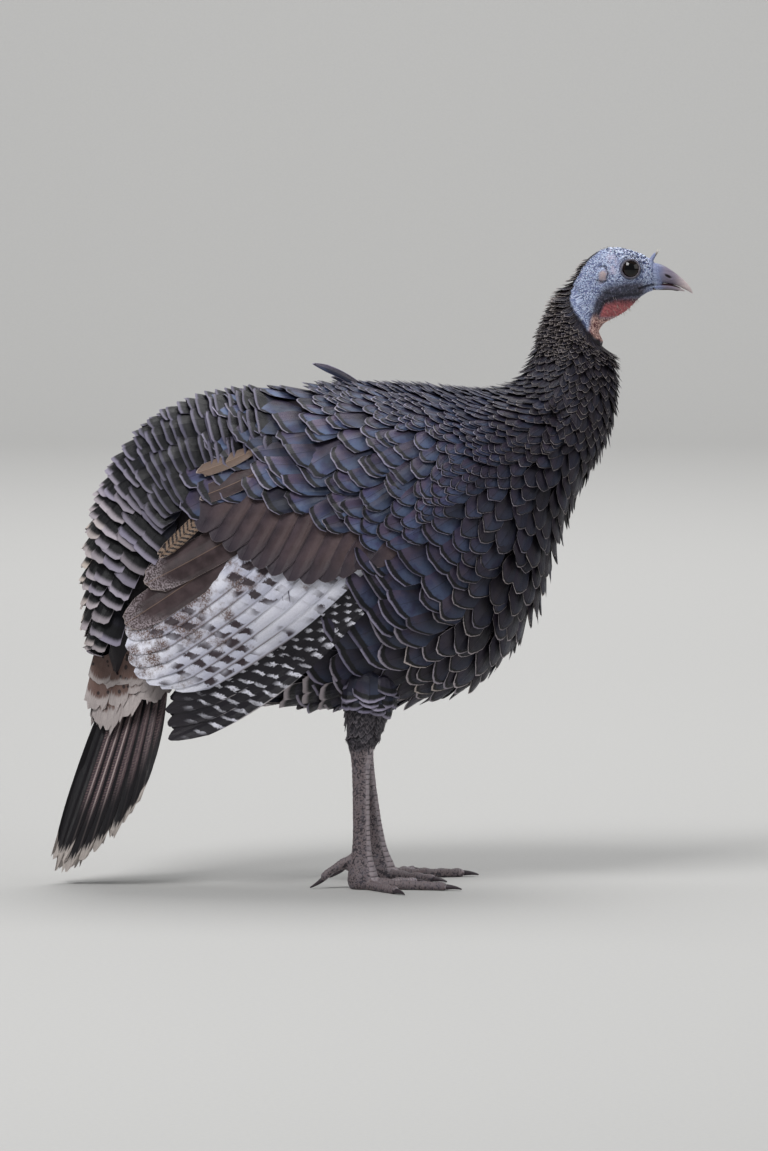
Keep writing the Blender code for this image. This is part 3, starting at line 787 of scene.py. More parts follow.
# %% What the feathers are like in each place
# X, Z, then in mm: breadth, pitch, fringe, black band, how far the end stands off; then shares:
# how pale the fringe is, how glossy the vane, how brown, how squared the end.
KINDS = np.array((
    (192, 512, 4.5, 3.4, 0.5, 0.3, 1.2, 0.60, 0.10, 0.95, 0.55),
    (184, 552, 5.0, 4.0, 1.2, 0.3, 5.0, 0.52, 0.05, 1.00, 0.50),
    (172, 532, 5.5, 4.2, 1.0, 0.3, 6.5, 0.46, 0.05, 1.00, 0.50),
    (168, 505, 6.5, 4.4, 0.8, 0.4, 4.5, 0.34, 0.05, 0.90, 0.52),
    (200, 470, 9.0, 6.0, 0.7, 0.5, 4.5, 0.36, 0.08, 0.85, 0.50),
    (165, 470, 9.0, 6.4, 0.7, 0.6, 3.0, 0.30, 0.10, 0.80, 0.55),
    (196, 425, 13.0, 8.6, 0.8, 0.7, 5.5, 0.40, 0.10, 0.80, 0.50),
    (140, 410, 14.0, 8.6, 0.8, 0.8, 2.6, 0.34, 0.15, 0.65, 0.55),
    (172, 365, 19.0, 11.0, 0.9, 1.0, 5.5, 0.42, 0.12, 0.75, 0.52),
    (125, 345, 21.0, 12.0, 1.0, 1.2, 3.4, 0.30, 0.15, 0.55, 0.58),
    (140, 290, 24.0, 12.5, 1.1, 1.2, 6.0, 0.42, 0.12, 0.80, 0.56),
    (105, 240, 27.0, 13.0, 1.4, 1.8, 6.0, 0.46, 0.12, 0.65, 0.62),
    (70, 185, 28.0, 13.0, 2.2, 2.2, 6.0, 0.58, 0.12, 0.55, 0.66),
    (66, 322, 36.0, 13.0, 1.8, 3.0, 4.0, 0.42, 0.50, 0.12, 0.86),
    (36, 290, 46.0, 13.4, 2.8, 3.8, 5.0, 0.40, 0.45, 0.08, 0.92),
    (18, 236, 48.0, 17.0, 3.4, 4.2, 5.5, 0.42, 0.40, 0.08, 0.90),
    (-26, 178, 40.0, 17.0, 4.0, 4.0, 5.5, 0.48, 0.20, 0.15, 0.90),
    (-80, 160, 28.0, 12.5, 6.5, 4.5, 4.2, 0.86, 0.10, 0.30, 0.90),
    (-150, 160, 26.0, 12.0, 7.5, 4.0, 4.2, 0.92, 0.10, 0.35, 0.90),
    (104, 392, 12.0, 7.5, 1.1, 0.8, 1.8, 0.36, 0.35, 0.35, 0.62),
    (62, 352, 15.0, 8.5, 1.0, 1.6, 1.8, 0.30, 0.55, 0.30, 0.72),
    (38, 330, 18.0, 9.5, 0.8, 2.2, 2.4, 0.26, 0.70, 0.20, 0.72),
    (100, 426, 9.5, 6.5, 1.5, 0.9, 1.6, 0.42, 0.28, 0.12, 0.66),
    (40, 436, 10.0, 7.0, 1.7, 1.2, 1.6, 0.42, 0.28, 0.10, 0.70),
    (-20, 447, 12.0, 7.0, 1.8, 1.4, 1.8, 0.42, 0.30, 0.10, 0.74),
    (40, 400, 24.0, 13.0, 1.8, 3.2, 2.2, 0.38, 0.75, 0.10, 0.94),
    (-10, 410, 33.0, 19.0, 1.9, 4.2, 2.6, 0.36, 0.95, 0.05, 0.97),
    (-60, 424, 32.0, 19.0, 1.9, 4.2, 2.6, 0.36, 1.00, 0.05, 0.97),
    (-90, 390, 32.0, 18.0, 2.2, 4.0, 2.8, 0.40, 0.90, 0.12, 0.96),
    (-30, 365, 28.0, 16.0, 1.7, 3.8, 2.6, 0.34, 0.90, 0.05, 0.94),
    (10, 360, 22.0, 12.5, 1.3, 3.0, 2.2, 0.30, 0.85, 0.10, 0.88),
))
BREADTH, PITCH, FRINGE, BAND, STAND, PALE, GLOSS, WARM, SQUARE = range(9)
STATION = cloak.per_station


def kind_at(points):
    """The mixture of kinds at each point, given in mm."""
    gap = np.linalg.norm(points[:, None, [0, 2]] - KINDS[None, :, :2], axis=-1)
    weight = 1 / (gap + 4) ** 3.5
    return (weight @ KINDS[:, 2:]) / weight.sum(1, keepdims=True)


def rows_of(form, first, last, pitch, breadth_at, stagger=0.5, spoke=slice(None)):
    """Every root as ring and spoke counts, with its row's number. breadth_at takes a ring in mm."""
    places, row, number = [], float(first), 0
    while row < last:
        at = min(int(row), form.count - 1)
        share = form.around[at] / MM / (0.8 * breadth_at(form.points[at] / MM))
        way = np.concatenate([[0], np.cumsum(share)])
        count = max(int(round(way[-1])), 8)
        along = (np.arange(count) + stagger * (number % 2)) / count * way[-1]
        columns = np.interp(along, way, np.arange(SPOKES + 1))
        places.append(np.stack([np.full(count, row), columns, np.full(count, number)], 1))
        row += pitch(row / STATION) * MM / form.ahead[at, spoke].mean()
        number += 1
    return np.concatenate(places)


def by_station(values):
    return lambda at: np.interp(at, np.arange(len(values)), values)


def scattered(places, form, along, across):
    """Places a few mm off their rows, along the lie and across it."""
    row, column = places[:, 0], places[:, 1]
    step = np.stack([form.read(form.ahead, row, column), form.read(form.around, row, column)], 1) / MM
    off = np.stack([along + 0 * row, across + 0 * row], 1) * rng.normal(0, 1, (len(places), 2))
    return places[:, :2] + np.clip(off / np.maximum(step, 0.3), -3, 3)


def points_at(form, places, row_add=0.0):
    return form.read(form.points, places[:, 0] + row_add, places[:, 1]) / MM


def turned(places):
    """How far round the body roots are: 0 along the back, 1 under the belly."""
    return np.abs(places[:, 1] / SPOKES - 0.5) * 2


def reach_of(kind):
    """A feather is nearly three pitches long, so two others always lie over it."""
    return kind[:, PITCH] * 2.8 + 3


def inside(x, z, corners):
    """Which points lie within an outline in the side view."""
    found = np.zeros(np.shape(x), bool)
    for (x0, z0), (x1, z1) in zip(corners, corners[1:] + corners[:1]):
        crosses = (z0 > z) != (z1 > z)
        found ^= crosses & (x < (x1 - x0) * (z - z0) / (z1 - z0 + 1e-9) + x0)
    return found


# %% [markdown]
# Rows are laid at the closest pitch. Where the kind of feather wants twice that, every second row
# is left out. Roots under the folded wing, on the bare skin and on the rump are left out too.

# %% Body feathers
FOLDED_WING = (
    (-128, 350), (-66, 344), (-20, 330), (8, 312), (20, 296), (6, 276), (-16, 252),
    (-24, 236), (-66, 203), (-98, 172), (-122, 155), (-190, 128), (-240, 190), (-235, 250), (-205, 322),
)
# In mm, how near the mid-plane the wing begins, and how far round the vent feathers start.
WING_INSIDE, VENT_TURN = 38, 0.78
NECK_END, REAR_START = 3.4 * STATION, 6.2 * STATION
CLOSE_PITCH = by_station((3.0, 4.0, 5.2, 6.2, 6.2, 6.2, 6.3, 6.4, 6.4, 6.4, 6.2, 6.0))


def tufted(points, size):
    """Slow wandering from -1 to 1 over the body, so neighbours lean and lift together."""
    return np.array([noise.noise(Vector(point) / size) for point in points])


def body_feathers(name, places, shape=BODY_VANE, stand=0.0):
    loose = kind_at(points_at(cloak, places))[:, PITCH] / 12
    places = scattered(places, cloak, 2.4 * loose, 2.0 * loose)
    count = len(places)
    swirl, puff = (tufted(points_at(cloak, places), size) for size in (42, 60))
    at = points_at(cloak, places, 0.8)
    kind = kind_at(at)
    under = ramp(turned(places), 0.72, 0.86)
    breadth = kind[:, BREADTH] * rng.uniform(0.9, 1.12, count)
    reach = reach_of(kind) * rng.uniform(0.9, 1.1, count)
    curve = (
        0.3 - 0.2 * ramp(kind[:, SQUARE], 0.6, 0.95) + 0.03 * rng.normal(0, 1, count),
        0.3,
        kind[:, SQUARE],
        0.12 * rng.normal(0, 1, count) + 0.45 * swirl,
        0.9 + 0.6 * rng.random(count),
    )
    gloss = np.clip(kind[:, GLOSS] * rng.normal(1, 0.3, count), 0, 1)
    warm = np.clip(kind[:, WARM] + rng.normal(0, 0.12, count), 0, 1)
    pale = np.clip(kind[:, PALE] * rng.normal(1, 0.3, count) + 0.2 * under, 0, 1)
    fringe = kind[:, FRINGE] * rng.uniform(0.8, 1.2, count)
    look = look_of(warm, pale, fringe, kind[:, BAND], gloss, ramp(kind[:, SQUARE], 0.75, 0.95))
    flare = stand + kind[:, STAND] * rng.uniform(0.35, 1.35, count) * (1 + 1.1 * puff)
    tilt = 0.045 * breadth[:, None] * ramp(kind[:, PITCH], 8, 14)[:, None]
    return lay(name, cloak, places, shape, reach, breadth, 1.5 + 0.17 * reach, flare, curve, look, tilt)


def closest(ring):
    return np.minimum(kind_at(ring)[:, BREADTH], 35)


places = rows_of(cloak, 0.0, 10.6 * STATION, CLOSE_PITCH, closest)
at = points_at(cloak, places, 1.0)
every = 1 + (kind_at(at)[:, PITCH] > 9) + (kind_at(at)[:, PITCH] > 15.5)
sparse = places[:, 2] % every > 0
on_wing = inside(at[:, 0], at[:, 2], FOLDED_WING)
ends = points_at(cloak, places, 0.6 * reach_of(kind_at(at)) * MM / cloak.ahead.mean())
over = inside(ends[:, 0], ends[:, 2], FOLDED_WING)
on_wing |= over & (((at[:, 2] > 322) & (at[:, 0] < 34)) | (at[:, 2] < 262))
on_wing &= np.abs(at[:, 1]) > WING_INSIDE
in_rump = (at[:, 0] < -100 - (445 - at[:, 2]) * 0.55) & (at[:, 2] > 215)


def on_bare(places):
    """Roots on bare skin, and those where the throat's notch turns the lie upwards."""
    root, next_one = points_at(cloak, places), points_at(cloak, places, 0.7)
    upwards = (next_one[:, 2] > root[:, 2] - 0.3) & (places[:, 0] < 1.2 * STATION)
    return (bare_head(root) > 0.5) | ((root[:, 0] > 198) & (root[:, 2] > 493)) | upwards


on_skin = on_bare(places)
on_vent = (at[:, 0] < -28) & (at[:, 0] > -112) & (at[:, 2] < 205)
on_vent &= turned(places) > VENT_TURN
places = places[~(sparse | on_wing | in_rump | on_skin | on_vent)]
on_neck, rear = places[:, 0] < NECK_END, places[:, 0] > REAR_START
neck_coat = body_feathers("neck_coat", places[on_neck], SMALL_VANE)
breast_coat = body_feathers("breast_coat", places[~on_neck & ~rear])
body_coat = body_feathers("body_coat", places[rear])

# %% [markdown]
# Each thigh has its own small rings, nearly level, down to the ankle. Its feathers are short,
# soft and mottled grey-brown, and end raggedly on the first scales. A skirt of flank feathers
# hangs over its top, so the thigh comes out from under the body with no seam.

# %% Thigh feathers
THIGH_STATIONS = ((-3, 200, 78), (-4, 178, 84), (-6, 158, 88), (-8, 140, 90), (-9, 124, 90), (-9, 108, 90))
thigh_coats, thigh_skirts = [], []
for side, out in SIDES.items():
    aside = sum(box_of(f"leg_{side}"))[1] / 2 + out * 3.0
    form = Rings(THIGH_STATIONS, (f"thigh_{side}", f"leg_{side}"), 10, aside)
    thigh = rows_of(form, 11, 3.6 * form.per_station, lambda at: 4.6, lambda ring: 7.5 + 0 * ring[:, 0])
    thigh = scattered(thigh, form, 1.6, 0.6)
    count = len(thigh)
    end = ramp(thigh[:, 0], 2.9 * form.per_station, 3.5 * form.per_station)
    reach = rng.uniform(14, 21, count) * (1 - 0.5 * end)
    breadth = rng.uniform(6.5, 9.0, count)
    warm, pale = 0.55 + 0.3 * rng.random(count), rng.uniform(0.2, 0.5, count)
    look = look_of(warm, pale, rng.uniform(0.6, 2.0, count), 0.3, 0.08 * rng.random(count), 0.0)
    rounding, squared = rng.uniform(0.2, 0.4, count), rng.uniform(0.4, 0.7, count)
    curve = (rounding, 0.4, squared, 0.08 * rng.normal(0, 1, count), rng.uniform(0.8, 1.6, count))
    flare = rng.uniform(0.4, 1.8, count) * (1 - 0.9 * end)
    coat = lay(f"thigh_coat_{side}", form, thigh, SMALL_VANE, reach, breadth, 2.0, flare, curve, look)
    thigh_coats.append(coat)
    skirt = rows_of(form, 0.0, 0.8 * form.per_station, lambda at: 5.5, lambda ring: 22 + 0 * ring[:, 0])
    skirt = scattered(skirt, form, 2.0, 1.5)
    kind = kind_at(points_at(form, skirt))
    count = len(skirt)
    reach, breadth = rng.uniform(22, 32, count), rng.uniform(27, 34, count)
    pale = kind[:, PALE] * rng.uniform(0.6, 1.4, count)
    gloss = kind[:, GLOSS] * rng.uniform(0.5, 1.2, count)
    look = look_of(kind[:, WARM], pale, kind[:, FRINGE], kind[:, BAND], gloss, 0.0)
    squared = rng.uniform(0.5, 0.7, count)
    curve = (0.15, 0.3, squared, 0.1 * rng.normal(0, 1, count), rng.uniform(0.9, 1.5, count))
    sink, flare = 0.08 * reach, rng.uniform(2.5, 6.0, count)
    coat = lay(f"thigh_skirt_{side}", form, skirt, BODY_VANE, reach, breadth, sink, flare, curve, look)
    thigh_skirts.append(coat)

# %% [markdown]
# The first feathers stand up in a ragged ruff along the edge of the bare skin, thickest down
# the nape.

# %% The ruff
ruff = []
for column in np.arange(0, SPOKES, 2.2):
    rings = np.arange(0, 2.4 * STATION, 0.1)
    ring_at = np.stack([rings, np.full(len(rings), column)], 1)
    covered_at = ~on_bare(ring_at)
    if covered_at.any():
        first = rings[covered_at.argmax()]
        behind = abs(column / SPOKES - 0.5) < 0.2
        steps = np.arange(-0.3, 6.0 if behind else 1.2, 0.42)
        ruff += [(first + step, column + rng.uniform(-1, 1), 0) for step in steps]
ruff_coat = body_feathers("ruff_coat", np.array(ruff), SMALL_VANE, 0.8)

# %% [markdown]
# ## The ruffled rump
# Behind the wings the bird has raised its rump. Its squared feathers lie in rows like a fan, and
# each row's pale ends stand off the next as a bar, with a black gap before it. The ends are
# broad and near white at the rear, narrow and lilac on top.

# %% Rump feathers
RUMP_PITCH = by_station((8.5, 8.5, 10.0, 13.5, 15.5, 16.5, 16.5, 15.5))
RUMP_BREADTH = by_station((40, 40, 38, 33, 28, 25, 24, 24))
TOP_SPOKES = slice(SPOKES // 2 - 8, SPOKES // 2 + 8)


def rump_breadth(ring):
    return 25 + 16 * ramp(ring[:, 0], -225, -150)


rump_places = rows_of(rump, 4.5, rump.count - 3.5, RUMP_PITCH, rump_breadth, 0.0, TOP_SPOKES)
step = np.interp(rump_places[:, 0], np.arange(rump.count), RUMP_PITCH(np.arange(rump.count) / 10))
station_at = rump_places[:, 0] / 10
rump_places = scattered(rump_places, rump, 1.0, 1.6)
turns = turned(rump_places)
at = points_at(rump, rump_places, 0.5)
half = points_at(rump, rump_places, 2.5)
WING_EDGE = ((-118, 376), (-148, 372), (-204, 306), (-226, 262), (-246, 215), (-150, 150), (-100, 300))
under_wing = [inside(v[:, 0], v[:, 2], WING_EDGE) & (np.abs(v[:, 1]) > WING_INSIDE) for v in (at, half)]
kept = (turns < 0.66) & ~(under_wing[0] | under_wing[1])
rump_places, step, station_at, turns = rump_places[kept], step[kept], station_at[kept], turns[kept]
count = len(rump_places)
top_gap = rump.ahead[:, TOP_SPOKES].mean(1)
here = rump.read(rump.ahead, rump_places[:, 0], rump_places[:, 1])
step = step * np.clip(here / np.interp(rump_places[:, 0], np.arange(rump.count), top_gap), 0.35, 1.2)
x, y, z = points_at(rump, rump_places, 1.0).T
low = ramp(-x - 0.5 * (z - 300), 120, 215)
outer = 1 - ramp(turns, 0.04, 0.3)
reach = (step * 1.7 + 16) * rng.uniform(0.94, 1.1, count)
breadth = RUMP_BREADTH(station_at) * rng.uniform(0.85, 1.1, count)
# Painted shadow: round a place by the wing's upper rear edge the pale ends are dimmed, as in the wing's
# shadow.
shaded_hollow = np.exp(-(((x + 146) ** 2 + (z - 384) ** 2) / 24**2))
bar = np.minimum(3.2 + 3.6 * low, 0.56 * step) * rng.uniform(0.85, 1.2, count)
pale = 0.2 + 0.36 * low + outer * (0.06 + 0.32 * low) + rng.normal(0, 0.05, count)
pale = np.clip(pale * (1 - 0.85 * shaded_hollow), 0, 1)
flare = 2.5 + 2.2 * low + 2.5 * rng.random(count)
rounding, twist = 0.05 + 0.02 * rng.normal(0, 1, count), 0.05 * rng.normal(0, 1, count)
curve = (rounding, 0.3, 1.0, twist, 0.9 + 0.7 * rng.random(count))
look = look_of(0.15 + 0.6 * rng.random(count) * low, pale, bar, 9.0, 0.2 * (1 - low), 1.0)
sink = 3 + 0.24 * reach
rump_coat = lay("rump_coat", rump, rump_places, BODY_VANE, reach, breadth, sink, flare, curve, look)

# %% [markdown]
# Behind the thighs hang loose vent feathers: a few dark ones with broad buff-grey ends, and
# longer pale fluff between them.

# %% Vent feathers
VENT_STATIONS = ((20, 262, 0), (-30, 262, 0), (-80, 262, 0), (-130, 262, 0), (-180, 262, 0))
vent = Rings(VENT_STATIONS, ("trunk",))
vent_places = rows_of(vent, 6, 23, lambda at: 17.0, lambda ring: 30 + 0 * ring[:, 0])
vent_places = scattered(vent_places[turned(vent_places) > VENT_TURN], vent, 1.6, 1.6)
count = len(vent_places)
fluffy = rng.random(count) < 0.15


def either(fluff, other):
    return np.where(fluffy, fluff, other)


warm = rng.uniform(0.2, 0.6, count)
gloss = 0.1 * rng.random(count)
look = look_of(warm, either(0.75, 0.85), either(14.0, 6.5), either(0.0, 4.0), gloss, either(0.0, 1.0))
twist, arch = 0.06 * rng.normal(0, 1, count), rng.uniform(0.9, 1.6, count)
curve = (either(0.35, 0.12), 0.3, either(0.5, 0.95), twist, arch)
reach, breadth, flare = rng.uniform(36, 46, count), either(14.0, 28.0), rng.uniform(2.5, 5.5, count)
vent_coat = lay("vent_coat", vent, vent_places, BODY_VANE, reach, breadth, 5.0, flare, curve, look)

# %% [markdown]
# ## Long quills
# The folded wing shows long stiff feathers: primaries lowest, then secondaries, tertials and the
# greater coverts over their roots. The tail is a closed fan, under its own coverts. Each lies on
# the outer face of its solid, which is measured as a depth over the side view. Inner quills
# cover outer ones, so every blade is tipped a little: its lower edge stands out, its upper edge
# is tucked under the neighbour.

# %% The outer face of a wing or tail as a depth over the side view


class SideDepth:
    """How far out, in mm, the right-hand face of some solids lies, at any X and Z in mm."""

    def __init__(self, nodes, cell=4.0, margin=60.0):
        corners = np.array([box_of(node) for node in nodes])[:, :, [0, 2]]
        self.low, high = corners.min((0, 1)) - margin, corners.max((0, 1)) + margin
        self.cell = cell
        shape = np.ceil((high - self.low) / cell).astype(int) + 1
        tree = tree_of(*nodes)
        depth = np.full(shape, np.nan)
        for i in range(shape[0]):
            for j in range(shape[1]):
                x, z = self.low + np.array([i, j]) * cell
                hit = tree.ray_cast(Vector((x * MM, -REACH, z * MM)), Vector((0, 1, 0)), REACH)[0]
                if hit:
                    depth[i, j] = -hit.y / MM
        known = ~np.isnan(depth)
        while not known.all():
            padded = np.pad(np.where(known, depth, 0), 1)
            weight = np.pad(known.astype(float), 1)
            near = sum(np.roll(padded, s, axis)[1:-1, 1:-1] for s in (1, -1) for axis in (0, 1))
            number = sum(np.roll(weight, s, axis)[1:-1, 1:-1] for s in (1, -1) for axis in (0, 1))
            grown = ~known & (number > 0)
            depth[grown] = near[grown] / number[grown]
            known |= grown
        for _ in range(3):
            depth[1:-1] = (depth[:-2] + 2 * depth[1:-1] + depth[2:]) / 4
            depth[:, 1:-1] = (depth[:, :-2] + 2 * depth[:, 1:-1] + depth[:, 2:]) / 4
        self.depth = depth

    def read(self, x, z):
        at = (np.stack([x, z], -1) - self.low) / self.cell
        at = np.clip(at, 0, np.array(self.depth.shape) - 1.001)
        i, j = np.floor(at).astype(int)[..., 0], np.floor(at).astype(int)[..., 1]
        u, v = at[..., 0] - i, at[..., 1] - j
        d = self.depth
        near = d[i, j] * (1 - u) + d[i + 1, j] * u
        far = d[i, j + 1] * (1 - u) + d[i + 1, j + 1] * u
        return near * (1 - v) + far * v


def spread(points, count):
    """count places spread evenly along a broken line."""
    points = np.asarray(points, float)
    way = np.concatenate([[0], np.cumsum(np.linalg.norm(np.diff(points, axis=0), axis=1))])
    at = np.linspace(0, way[-1], count)
    return np.stack([np.interp(at, way, points[:, i]) for i in range(points.shape[1])], 1)


def lay_quills(
    name, side, surface, ends, breadth, bow, level, tilt, curve, look, sheet=(0, 1), worn=0.6, tuck=0.0
):
    """Blades between ends, which are their roots and tips as (X, Z) in mm. level sinks them,
    tuck sinks their roots, tilt tips each one, and worn frays its end. sheet is the span of
    the map that they take. curve is as for lay, with a camber and no twist."""
    out, (roots, tips) = SIDES[side], ends
    number = len(roots)
    down, l, face = LONG_VANE["across"] * out, LONG_VANE["along"], LONG_VANE["side"]
    rounding, root, squared, camber = curve
    breadth, bow, level = (np.broadcast_to(v, number)[:, None] for v in (breadth, bow, level))
    tip = 1 - rounding * np.abs(down[None]) ** 2.4
    along = l * (1 - (1 - tip) * l) + np.zeros((number, 1))
    way = tips - roots
    reach = np.linalg.norm(way, axis=1)[:, None]
    forward = way / reach
    below = np.stack([-forward[:, 1], forward[:, 0]], 1)
    below = np.where(below[:, 1:] > 0, -below, below)
    width = outline(along, root, squared)
    ragged = rng.normal(0, 1, (number, len(l))) * (l > 0.99) * worn / reach
    sideways = down * width * breadth / 2 + bow * np.sin(math.pi * np.clip(along, 0, 1) * 0.8)
    flat = roots[:, None] + way[:, None] * (along + ragged)[..., None]
    flat = flat + below[:, None] * sideways[..., None]
    depth = surface.read(flat[..., 0], flat[..., 1]) - level - tuck * np.clip(1 - along, 0, 1) ** 2
    depth = depth + tilt * down + camber * (1 - down**2) * width
    depth = depth + face * 0.28 * (1 - down**2) * (1.25 - along)
    places = np.stack([flat[..., 0], out * depth, flat[..., 1]], -1) * MM
    edge = np.stack([(1 - np.abs(down)) * width * breadth / 2, (tip - along) * reach, down * width], -1)
    make = np.stack([reach + 0 * along, breadth + 0 * along, along + 0 * reach], -1)
    strip = (sheet[1] - sheet[0]) / number
    patch = np.stack([sheet[0] + (np.arange(number) + 0.5) * strip, np.full(number, 0.5)], 1)
    grain = rng.random(number)[:, None]
    island = (strip * 0.9, 0.96)
    return many(name, LONG_VANE, places, patch, island, edge=edge, make=make, grain=grain, **look)


def steady(number, tint, dress):
    """The same tint and dress for each of a group's feathers."""
    marks = {"tint": tint, "dress": dress}
    return {name: np.tile(np.array(mark, float), (number, 1, 1)) for name, mark in marks.items()}


# %% [markdown]
# The hen has ten primaries, some twelve secondaries and a few long tertials. In the folded wing
# their roots draw together at the wrist and their tips step down behind. The greater coverts
# slope across the roots as a plain brown panel.

# %% Quills of both wings
SECONDARIES, PRIMARIES, GREATER_COVERTS = 7, 5, 12
wing_surface = SideDepth(("wing_right",))
SECONDARY_ROOTS = ((-72, 340), (-8, 297))
SECONDARY_TIPS = ((-222, 231), (-221, 218), (-218, 205), (-212, 194), (-198, 189), (-180, 186))
PRIMARY_ROOTS = ((-2, 284), (-10, 256))
PRIMARY_TIPS = ((-174, 186), (-187, 166), (-187, 143))
COVERT_TIPS = (
    (-152, 324), (-132, 310), (-111, 296), (-90, 286), (-72, 280), (-52, 277), (-36, 281),
    (-18, 291), (-2, 296),
)
COVERT_ROOTS = ((-116, 380), (-60, 372), (-14, 350), (24, 322))
TERTIALS = (
    ((-72, 345), (-222, 240), 32, 3.0, 0.0),
    ((-66, 354), (-203, 277), 31, 2.4, 0.1),
    ((-104, 386), (-190, 302), 13, 1.0, 0.95),
    ((-88, 384), (-153, 356), 17, -0.4, 0.15),
    ((-98, 400), (-156, 377), 12, -1.8, 0.6),
)
wing_quills = {}
for side in SIDES:
    order = np.linspace(0, 1, PRIMARIES)
    primaries = lay_quills(
        f"primaries_{side}", side, wing_surface,
        (spread(PRIMARY_ROOTS, PRIMARIES), spread(PRIMARY_TIPS, PRIMARIES)),
        27, 5 + 9 * order, 6.4 - 2.4 * order, 1.5,
        (0.16, 0.4, 0.7, 0.5), steady(PRIMARIES, (0.3, 0.8, 0.5), (0, 0, 0)),
    )
    look = steady(SECONDARIES, (0.3, 0.8, 0.5), (0, 0, 0))
    look["dress"][:, 0, 2] = 1 - np.linspace(0, 1, SECONDARIES)
    secondaries = lay_quills(
        f"secondaries_{side}", side, wing_surface,
        (spread(SECONDARY_ROOTS, SECONDARIES), spread(SECONDARY_TIPS, SECONDARIES)),
        36, 6.0, 4.2, 1.9, (0.14, 0.4, 0.85, 0.6), look,
    )
    tertials = [
        lay_quills(
            f"tertial_{number}_{side}", side, wing_surface, np.array([[root], [tip]], float),
            breadth, 2.0, level, 1.2, (0.1, 0.4, 0.85, 0.8), steady(1, (0.5, 0.8, 1.0), (0, 0, barred)),
            sheet=(number / len(TERTIALS), (number + 1) / len(TERTIALS)), worn=1.6, tuck=6.0,
        )
        for number, (root, tip, breadth, level, barred) in enumerate(TERTIALS)
    ]
    tertials = joined(f"tertials_{side}", *tertials)
    coverts = lay_quills(
        f"greater_coverts_{side}", side, wing_surface,
        (spread(COVERT_ROOTS, GREATER_COVERTS), spread(COVERT_TIPS, GREATER_COVERTS)),
        28, -3.0, 0.2, 1.3,
        (0.2, 0.4, 0.85, 0.8), steady(GREATER_COVERTS, (0.6, 0.4, 0.6), (0, 0.1, 0)), tuck=9.0,
    )
    wing_quills[side] = (primaries, secondaries, tertials, coverts)

# %% [markdown]
# ## The tail
# Eighteen stiff feathers hang as a half-closed fan, the middle pair on top. Seven a side show,
# each past the one above, with worn pale ends. Soft cinnamon coverts with broad, ragged,
# near-white ends lie over their roots, longest over the middle of the tail.

# %% Tail feathers and tail coverts
TAIL_PAIRS = 7
TAIL_ROOTS = ((-226, 192), (-190, 182))
TAIL_TIPS = ((-285, 19), (-279, 12), (-266, 22), (-253, 31), (-238, 44), (-226, 60), (-217, 78))
tail_surface = SideDepth(("tail",), cell=3.0)
cover_surface = SideDepth(("tail_coverts",), cell=3.0)
# Number, breadth, level, fringe and wear of each row of coverts, then its root and tip lines.
COVERT_ROWS = (
    (7, 20, 0.4, 17, 4.2, ((-238, 196), (-186, 190)),
     ((-247, 141), (-238, 144), (-221, 160), (-203, 172), (-190, 179))),
    (5, 22, -0.8, 9, 3.0, ((-238, 212), (-190, 205)),
     ((-248, 160), (-234, 163), (-212, 175), (-195, 185))),
    (5, 20, -1.8, 5, 1.2, ((-236, 228), (-196, 218)),
     ((-250, 182), (-232, 183), (-206, 186))),
)
tail_pieces = {}
for side in SIDES:
    quills = lay_quills(
        f"tail_feathers_{side}", side, tail_surface,
        (spread(TAIL_ROOTS, TAIL_PAIRS), np.array(TAIL_TIPS, float)), 22, 1.0, 0.8, 1.5,
        (0.08, 0.5, 0.5, 0.5), steady(TAIL_PAIRS, (0.5, 0.8, 15), (34, 0, 3)), worn=5.0,
    )
    rows = []
    for number, (count, breadth, level, fringe, worn, root_line, tip_line) in enumerate(COVERT_ROWS):
        tips = spread(tip_line, count)
        tips = tips + rng.normal(0, 1.5, tips.shape)
        row = lay_quills(
            f"tail_covert_row_{number}_{side}", side, cover_surface, (spread(root_line, count), tips),
            breadth, 1.0, level, 0.9, (0.12, 0.5, 0.9, 0.9), steady(count, (0.8, 0.9, fringe), (5, 0, 1)),
            (number / len(COVERT_ROWS), (number + 1) / len(COVERT_ROWS)), worn,
        )
        rows.append(row)
    tail_pieces[side] = (quills, joined(f"tail_coverts_{side}", *rows))

# %% [markdown]
# Two stray feathers of the back have been blown up on end, and stand clear of the outline.

# %% The stray feathers


class MidPlane:
    """Reads like SideDepth, but stands for the bird's own mid-plane, a little to one side."""

    def read(self, x, z):
        return 7.0 + 0 * x


STRAYS = np.array([((2.0, 440.0), (6.0, 438.0)), ((-56.0, 467.5), (-38.0, 455.0))])
stray_coat = lay_quills(
    "stray_coat", "right", MidPlane(), STRAYS, 7, -5.0, np.array([0.0, 2.0]), 2.0,
    (0.25, 0.4, 0.6, 1.5), steady(2, (0.1, 0.6, 2.2), (1.5, 0.5, 0)),
)

# %% [markdown]
# ## Painting feathers
# Every vane carries three small vectors. "edge" says how far in mm a point is from the vane's
# side and end, and where it is across the vane. "make" gives the feather's length and breadth,
# and the share along it. "tint" and "dress" say how warm, pale, fringed, banded and glossy it
# is. Short sums turn these into the fringe, the black band, the barbs and the shaft, so the same
# marks follow each feather however it lies. Colours are then laid over a base one by one.

# %% Colours, nodes and short sums


def srgb(text):
    values = [int(text[i : i + 2], 16) / 255 for i in (0, 2, 4)]
    return [v / 12.92 if v <= 0.04045 else ((v + 0.055) / 1.055) ** 2.4 for v in values] + [1]


PAIRED = {"+": "ADD", "-": "SUBTRACT", "*": "MULTIPLY", "/": "DIVIDE", "min": "MINIMUM", "max": "MAXIMUM"}
SINGLE = {"abs": "ABSOLUTE", "sin": "SINE", "frac": "FRACT"}
STRIPES = "frac 0.5 - abs 2 *"


